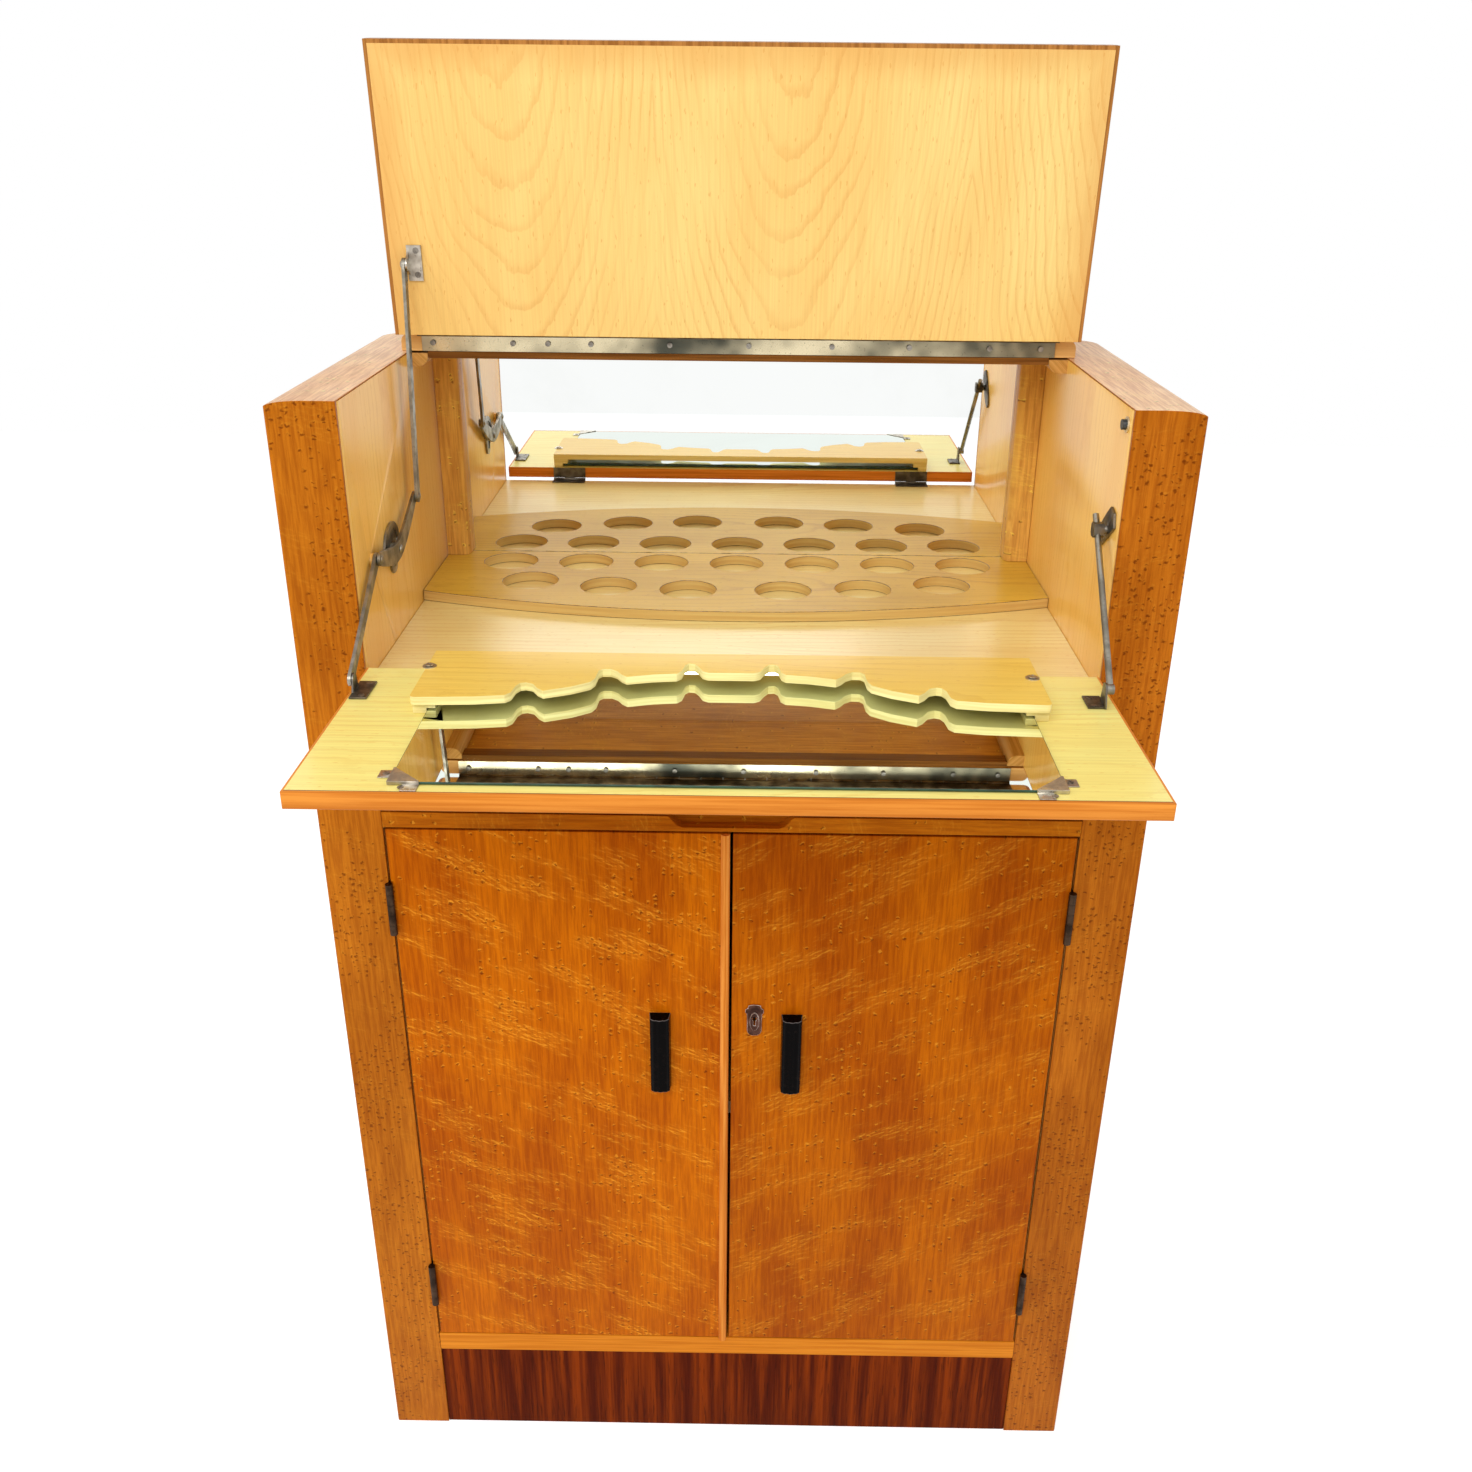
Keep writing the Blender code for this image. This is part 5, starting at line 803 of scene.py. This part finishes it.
# The lid: pale sliced maple underneath, amber birdseye on top, and thin brown lippings glued
# round its three free edges. It stands up on the long hinge.
lid_turn = -radians(85)
lid_edge = 0.0008
lipping = 0.004
seam = -0.09
lid_along = Vector((0, -cos(lid_turn), -sin(lid_turn)))
lid_out = Vector((0, sin(lid_turn), -cos(lid_turn)))
lid_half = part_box("lid_panel")[1][0]
bm = whole_copy("lid_panel")
lid_reach = max((vert.co - hinge_axis).dot(lid_along) for vert in bm.verts)
lid_under = pale_maple(
    "lid_pale_maple", "X", "Y", (0.92, 0.665, 0.235, 1), (0.90, 0.575, 0.178, 1), (0.70, 0.32, 0.07, 1),
    leaf=0.33, arch=0.30, centre=(seam, hinge_axis.y, hinge_axis.z), turn=(lid_turn, 0, 0),
    ends=(-lid_half - seam, lid_half - seam, -lid_reach, lid_reach),
)
lid_top = birdseye_maple(
    "lid_birdseye", "X", "Z", (0.44, 0.115, 0.006, 1), (0.58, 0.17, 0.013, 1),
    lean=radians(20), curled=0.5, crowded=0.4,
)
lid_lipping = plain_lipping(
    "lid_lipping", "X", "Y", (0.50, 0.215, 0.055, 1), (0.30, 0.115, 0.026, 1),
    centre=tuple(hinge_axis), turn=(lid_turn, 0, 0),
)
cuts = [((side * (lid_half - lipping), 0, 0), (1, 0, 0)) for side in (-1, 1)]
cuts.append((hinge_axis + lid_along * (lid_reach - lipping), lid_along))
for place, way in cuts:
    split(bm, place, way)
bmesh.ops.recalc_face_normals(bm, faces=bm.faces)
for face in bm.faces:
    middle = face.calc_center_median()
    inside = abs(middle.x) < lid_half - lipping
    inside = inside and (middle - hinge_axis).dot(lid_along) < lid_reach - lipping
    face.material_index = 2
    if inside:
        face.material_index = 0 if face.normal.dot(lid_out) > 0 else 1
stand_in("lid_panel", bm, [lid_under, lid_top, lid_lipping], lid_edge)

# The flap: pale maple inside, amber birdseye outside, with orange-brown lippings all round and a
# thin dark glue line between them. It hangs on two butt hinges let into the floor's front edge.
flap_low, flap_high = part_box("flap_panel")
flap_lip = 0.0045
glue_line = 0.0009
flap_front = flap_low[1] + flap_lip
flap_side = flap_high[0] - flap_lip / 2
lip_light, lip_deep = (0.84, 0.31, 0.050, 1), (0.60, 0.18, 0.022, 1)
flap_inside = pale_maple(
    "flap_pale_maple", "Y", "X", (1.0, 0.92, 0.31, 1), (1.0, 0.84, 0.25, 1), (0.86, 0.56, 0.12, 1),
    leaf=0.24, arch=0.12, centre=(0, -0.2, 0),
)
flap_outside = birdseye_maple(
    "flap_birdseye", "X", "Y", (0.44, 0.115, 0.006, 1), (0.58, 0.17, 0.013, 1),
    lean=radians(20), curled=0.5, crowded=0.4,
)
flap_lipping = plain_lipping("flap_lipping", "YZ", "X", lip_light, lip_deep)
side_lipping = plain_lipping("flap_side_lipping", "XZ", "Y", lip_light, lip_deep)
glue, tree, shader = polish("dark_glue", 0.5)
shader.inputs["Base Color"].default_value = (0.10, 0.035, 0.010, 1)
bm = whole_copy("flap_panel")
cuts = [((0, flap_front, 0), (0, 1, 0)), ((0, flap_front + glue_line, 0), (0, 1, 0))]
cuts += [((side * flap_side, 0, 0), (1, 0, 0)) for side in (-1, 1)]
for place, way in cuts:
    split(bm, place, way)
bmesh.ops.recalc_face_normals(bm, faces=bm.faces)
for face in bm.faces:
    middle = face.calc_center_median()
    if middle.y < flap_front:
        face.material_index = 2
    elif abs(middle.x) > flap_side:
        face.material_index = 3
    elif middle.y < flap_front + glue_line:
        face.material_index = 4
    elif face.normal.y > 0.5:
        face.material_index = 2
    elif face.normal.z < -0.5:
        face.material_index = 1
stand_in("flap_panel", bm, [flap_inside, flap_outside, flap_lipping, side_lipping, glue], thin_edge)
dark_metal = worn_metal(
    "bracket_steel", (0.19, 0.17, 0.14, 1), (0.085, 0.075, 0.062, 1), (0.025, 0.02, 0.018, 1), 0.34
)
for side in ("left", "right"):
    redress(side + "_flap_hinge_plate", dark_metal)
    redress(side + "_flap_hinge_leaf", dark_metal)

# The flap's mirror: plate glass whose ground edges look dark green, laid on the flap. The photo
# shows its glass thinner than the solid, and its reflections show that it leans to the front.
front_drop = 0.0025
rear_drop = 0.0003
ground_edge = 0.0009
flap_silver = silvering("flap_mirror_silvering", (0.88, 0.95, 0.89, 1))
glass_edge, tree, shader = polish("ground_glass_edge", 0.25)
spot = on_board(tree, "XY", "Z")
green = tint(
    tree, between(tree, fibres(tree, spot, 60, 300, 2), 0.35, 0.65), (0.006, 0.032, 0.019, 1),
    (0.016, 0.070, 0.044, 1),
)
tree.links.new(green, shader.inputs["Base Color"])
bm = whole_copy("flap_mirror")
two_finishes(bm, [(0, 0, 1)])
low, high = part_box("flap_mirror")
for vert in bm.verts:
    if vert.co.z > (low[2] + high[2]) / 2:
        back = (vert.co.y - low[1]) / (high[1] - low[1])
        vert.co.z -= front_drop + (rear_drop - front_drop) * back
stand_in("flap_mirror", bm, [flap_silver, glass_edge], ground_edge, segments=1, rim=1)

# Folded nickel clips at the glass's front corners, each held by two small screws. They are as
# low as the glass that they hold.
clip_edge = 0.00025
clip_clearance = 0.0001
tab = 0.006
tab_apart = 0.018
sheet = 0.0008
clip_metal = worn_metal(
    "clip_nickel", (0.62, 0.58, 0.50, 1), (0.34, 0.30, 0.25, 1), (0.10, 0.08, 0.06, 1), 0.26
)
for side, name in ((-1, "left"), (1, "right")):
    bm = whole_copy(name + "_mirror_clip")
    low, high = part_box(name + "_mirror_clip")
    for vert in bm.verts:
        if vert.co.z > (low[2] + high[2]) / 2:
            vert.co.z -= front_drop - clip_clearance
    stand_in(name + "_mirror_clip", bm, [clip_metal], clip_edge, segments=1)
    outer = high[0] - tab if side > 0 else low[0] + tab
    places = [
        (outer, high[1] - tab, low[2] + sheet),
        (outer - side * tab_apart, low[1] + tab, low[2] + sheet),
    ]
    add_heads(
        name + "_clip_screws", places, (0, 0, 1), radius=0.0028, height=0.0009, finish=screw_metal,
        body="flap",
    )

# The stem rack: a cream maple board with hooked notches that hold stemmed glasses upside down
# over the mirror. Two domed screws in cup washers hold it down, each at a place across and so
# far from the rear edge.
stem_rounding = 0.0010
washer_places = ((-0.2918, 0.0426), (0.2878, 0.0536))
washer_radius, washer_height = 0.0068, 0.0016
washer_rise = 0.0014
stem_top = pale_maple(
    "stem_rack_maple", "Y", "X", (0.97, 0.70, 0.150, 1), (0.94, 0.63, 0.115, 1), (0.72, 0.40, 0.06, 1),
    leaf=0.2, arch=0.1, centre=(0, -0.1, 0),
)
# The edges are cream maple, painted paler and greener, partly a painted reflection.
stem_edge_with_painted_reflection = plain_lipping("stem_rack_edge_painted_reflection", "Z", "X", (0.95, 0.84, 0.40, 1), (0.76, 0.62, 0.24, 1))
bm = whole_copy("stem_rack")
two_finishes(bm, [(0, 0, 1)])
stand_in("stem_rack", bm, [stem_top, stem_edge_with_painted_reflection], stem_rounding)
rack_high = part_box("stem_rack")[1]
bm = bmesh.new()
washer = round_head(washer_radius, washer_height, slotted=False)
for x, back in washer_places:
    fix_head(bm, washer, (x, rack_high[1] - back, rack_high[2]), (0, 0, 1))
washer.free()
add_piece("stem_rack_washers", bm, [clip_metal], "flap")
places = [(x, rack_high[1] - back, rack_high[2] + washer_rise) for x, back in washer_places]
add_heads(
    "stem_rack_screws", places, (0, 0, 1), radius=0.0040, height=0.0020, finish=clip_metal, body="flap"
)

# The linkage on the left side, in dull steel: a pressed plate with the crank's pivot, the
# curved crank, two links with round eyes, and screwed brackets on lid and flap.
link_edge, bracket_edge, rod_edge = 0.0005, 0.0004, 0.0003
lid_screw_inset = 0.0055
lid_screws_half_apart = 0.0125
flap_screw_inset = 0.006
bracket_plate = 0.002
link_metal = worn_metal(
    "linkage_steel", (0.36, 0.335, 0.28, 1), (0.20, 0.185, 0.15, 1), (0.05, 0.042, 0.034, 1), 0.30
)
for name in ("rocker_plate", "rocker", "upper_link", "lower_link"):
    stand_in(name, whole_copy(name), [link_metal], link_edge)
low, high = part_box("lid_bracket")
middle = Vector((high[0] - lid_screw_inset, (low[1] + high[1]) / 2, (low[2] + high[2]) / 2))
bm = whole_copy("lid_bracket")
on_plate = [vert for vert in bm.verts if vert.co.x > high[0] - bracket_plate / 2]
middle += lid_out * max((vert.co - middle).dot(lid_out) for vert in on_plate)
stand_in("lid_bracket", bm, [clip_metal], bracket_edge, segments=1)
for name in ("flap_link_bracket", "flap_stay_bracket", "stay_plate", "stay_swivel"):
    stand_in(name, whole_copy(name), [dark_metal], bracket_edge, segments=1)
stand_in("stay_bar", whole_copy("stay_bar"), [link_metal], rod_edge, segments=1)
places = [middle + lid_along * lid_screws_half_apart, middle - lid_along * lid_screws_half_apart]
add_heads(
    "lid_bracket_screws", places, lid_out, radius=0.0032, height=0.0011, finish=screw_metal, body="lid"
)
for name, side in (("flap_link_bracket", -1), ("flap_stay_bracket", 1)):
    low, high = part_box(name)
    inner = high[0] - flap_screw_inset if side < 0 else low[0] + flap_screw_inset
    foot = low[2] + bracket_plate
    places = [(inner, high[1] - flap_screw_inset, foot), (inner, low[1] + flap_screw_inset, foot)]
    add_heads(
        name + "_screws", places, (0, 0, 1), radius=0.0030, height=0.0010, finish=screw_metal,
        body="flap",
    )

# The stop that the shut flap meets: a black rubber dome in a pale ring.
rubber, tree, shader = polish("stop_rubber", 0.45)
spot = node(tree, "ShaderNodeTexCoord").outputs["Object"]
dust = node(tree, "ShaderNodeTexNoise", {"Vector": spot, "Scale": 300.0, "Detail": 2.0}).outputs["Fac"]
tree.links.new(
    tint(tree, between(tree, dust, 0.45, 0.75), (0.010, 0.010, 0.010, 1), (0.05, 0.045, 0.04, 1)),
    shader.inputs["Base Color"],
)
ring_thickness = 0.0013
stop_ring = worn_metal("stop_ring", (0.80, 0.72, 0.55, 1), (0.55, 0.48, 0.36, 1), (0.2, 0.16, 0.1, 1), 0.4)
bm = whole_copy("flap_stop")
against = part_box("flap_stop")[1][0] - ring_thickness
for face in bm.faces:
    face.material_index = 1 if face.calc_center_median().x > against else 0
stand_in("flap_stop", bm, [rubber, stop_ring])

# The doors: birdseye maple on both faces. Their figure leans opposite ways, as the veneer was
# turned over, and the left one carries a lighter half-round bead down its meeting edge.
bead_roots = (-0.0080, -0.0032)
left_veneer = birdseye_maple(
    "left_door_birdseye", "X", "Z", (0.44, 0.084, 0.0006, 1), (0.59, 0.138, 0.0010, 1),
    lean=radians(24), curled=1.0, crowded=0.5, centre=(0.6, 0, 0.22),
)
right_veneer = birdseye_maple(
    "right_door_birdseye", "X", "Z", (0.37, 0.068, 0.0005, 1), (0.50, 0.114, 0.0008, 1),
    lean=radians(-26), curled=0.7, crowded=0.4, centre=(-0.35, 0, 0.65),
)
bead_maple = plain_lipping("bead_maple", "XY", "Z", (0.88, 0.34, 0.060, 1), (0.60, 0.16, 0.012, 1))
door_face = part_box("right_door")[0][1]
bm = whole_copy("left_door")
for x in bead_roots:
    split(bm, (x, 0, 0), (1, 0, 0))
bmesh.ops.recalc_face_normals(bm, faces=bm.faces)
for face in bm.faces:
    if face.calc_center_median().y < door_face - weld:
        face.material_index = 1
stand_in("left_door", bm, [left_veneer, bead_maple])
stand_in("right_door", whole_copy("right_door"), [right_veneer], board_edge)

# The handles: black mouldings, polished, fluted from end to end, cut nearly square at both ends.
# They were put on by hand, a little to the left of where they mirror each other. The photo shows
# them shallower and shorter than the solids.
handle_shifts = (("left_handle", -0.0030), ("right_handle", -0.0045))
grip_depth_share = 0.74
end_slope_share = 0.12
foot_lift = 0.0122
head_lift = 0.0015
handle_edge = 0.0006
black, tree, shader = polish("black_moulding", 0.20, sheen=0.035)
spot = node(tree, "ShaderNodeTexCoord").outputs["Object"]
wear = node(tree, "ShaderNodeTexNoise", {"Vector": spot, "Scale": 160.0, "Detail": 3.0}).outputs["Fac"]
tree.links.new(
    tint(tree, between(tree, wear, 0.55, 0.8), (0.0015, 0.0010, 0.0010, 1), (0.008, 0.005, 0.004, 1)),
    shader.inputs["Base Color"],
)
# The rounded edges take a painted highlight: a lighter grey down the flutes and across the ends.
edge_highlight_paint, tree, shader = polish("handle_painted_edge_highlight", 0.3, sheen=0.3)
shader.inputs["Base Color"].default_value = (0.09, 0.08, 0.075, 1)
for name, shift in handle_shifts:
    bm = whole_copy(name)
    low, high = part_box(name)
    for vert in bm.verts:
        vert.co.x += shift
        vert.co.y = high[1] + (vert.co.y - high[1]) * grip_depth_share
        if vert.co.z > (low[2] + high[2]) / 2:
            vert.co.z = high[2] + head_lift - (high[2] - vert.co.z) * end_slope_share
        else:
            vert.co.z = low[2] + foot_lift + (vert.co.z - low[2]) * end_slope_share
    stand_in(name, bm, [black, edge_highlight_paint], handle_edge, rim=1)

# The keyhole plate: pressed copper, dark all over, its rounded edges painted bright as highlights.
plate_edge = 0.0004
copper = worn_metal(
    "escutcheon_copper", (0.10, 0.045, 0.032, 1), (0.035, 0.016, 0.012, 1), (0.012, 0.006, 0.005, 1), 0.30
)
# The rounded edges' painted highlight, pale and bright.
copper_highlight_paint = worn_metal(
    "escutcheon_painted_highlight", (0.80, 0.66, 0.58, 1), (0.26, 0.16, 0.12, 1), (0.05, 0.03, 0.02, 1), 0.22,
    patches=90.0,
)
stand_in("escutcheon", whole_copy("escutcheon"), [copper, copper_highlight_paint], plate_edge, segments=1, rim=1)

# Butt hinges of dark bronze: only their knuckles show beside the shut doors.
metal_edge = 0.0003
bronze = worn_metal(
    "hinge_bronze", (0.060, 0.036, 0.022, 1), (0.028, 0.017, 0.011, 1), (0.010, 0.007, 0.005, 1), 0.36
)
for side in ("left", "right"):
    for place in ("lower", "upper"):
        for half in ("plate", "leaf"):
            name = side + "_" + place + "_hinge_" + half
            stand_in(name, whole_copy(name), [bronze], metal_edge, segments=1)

# The lock in the right door and the bolt inside the left one, in dark steel.
for name in ("lock_case", "lock_bolt", "door_bolt_plate", "door_bolt"):
    stand_in(name, whole_copy(name), [dark_metal], metal_edge, segments=1)
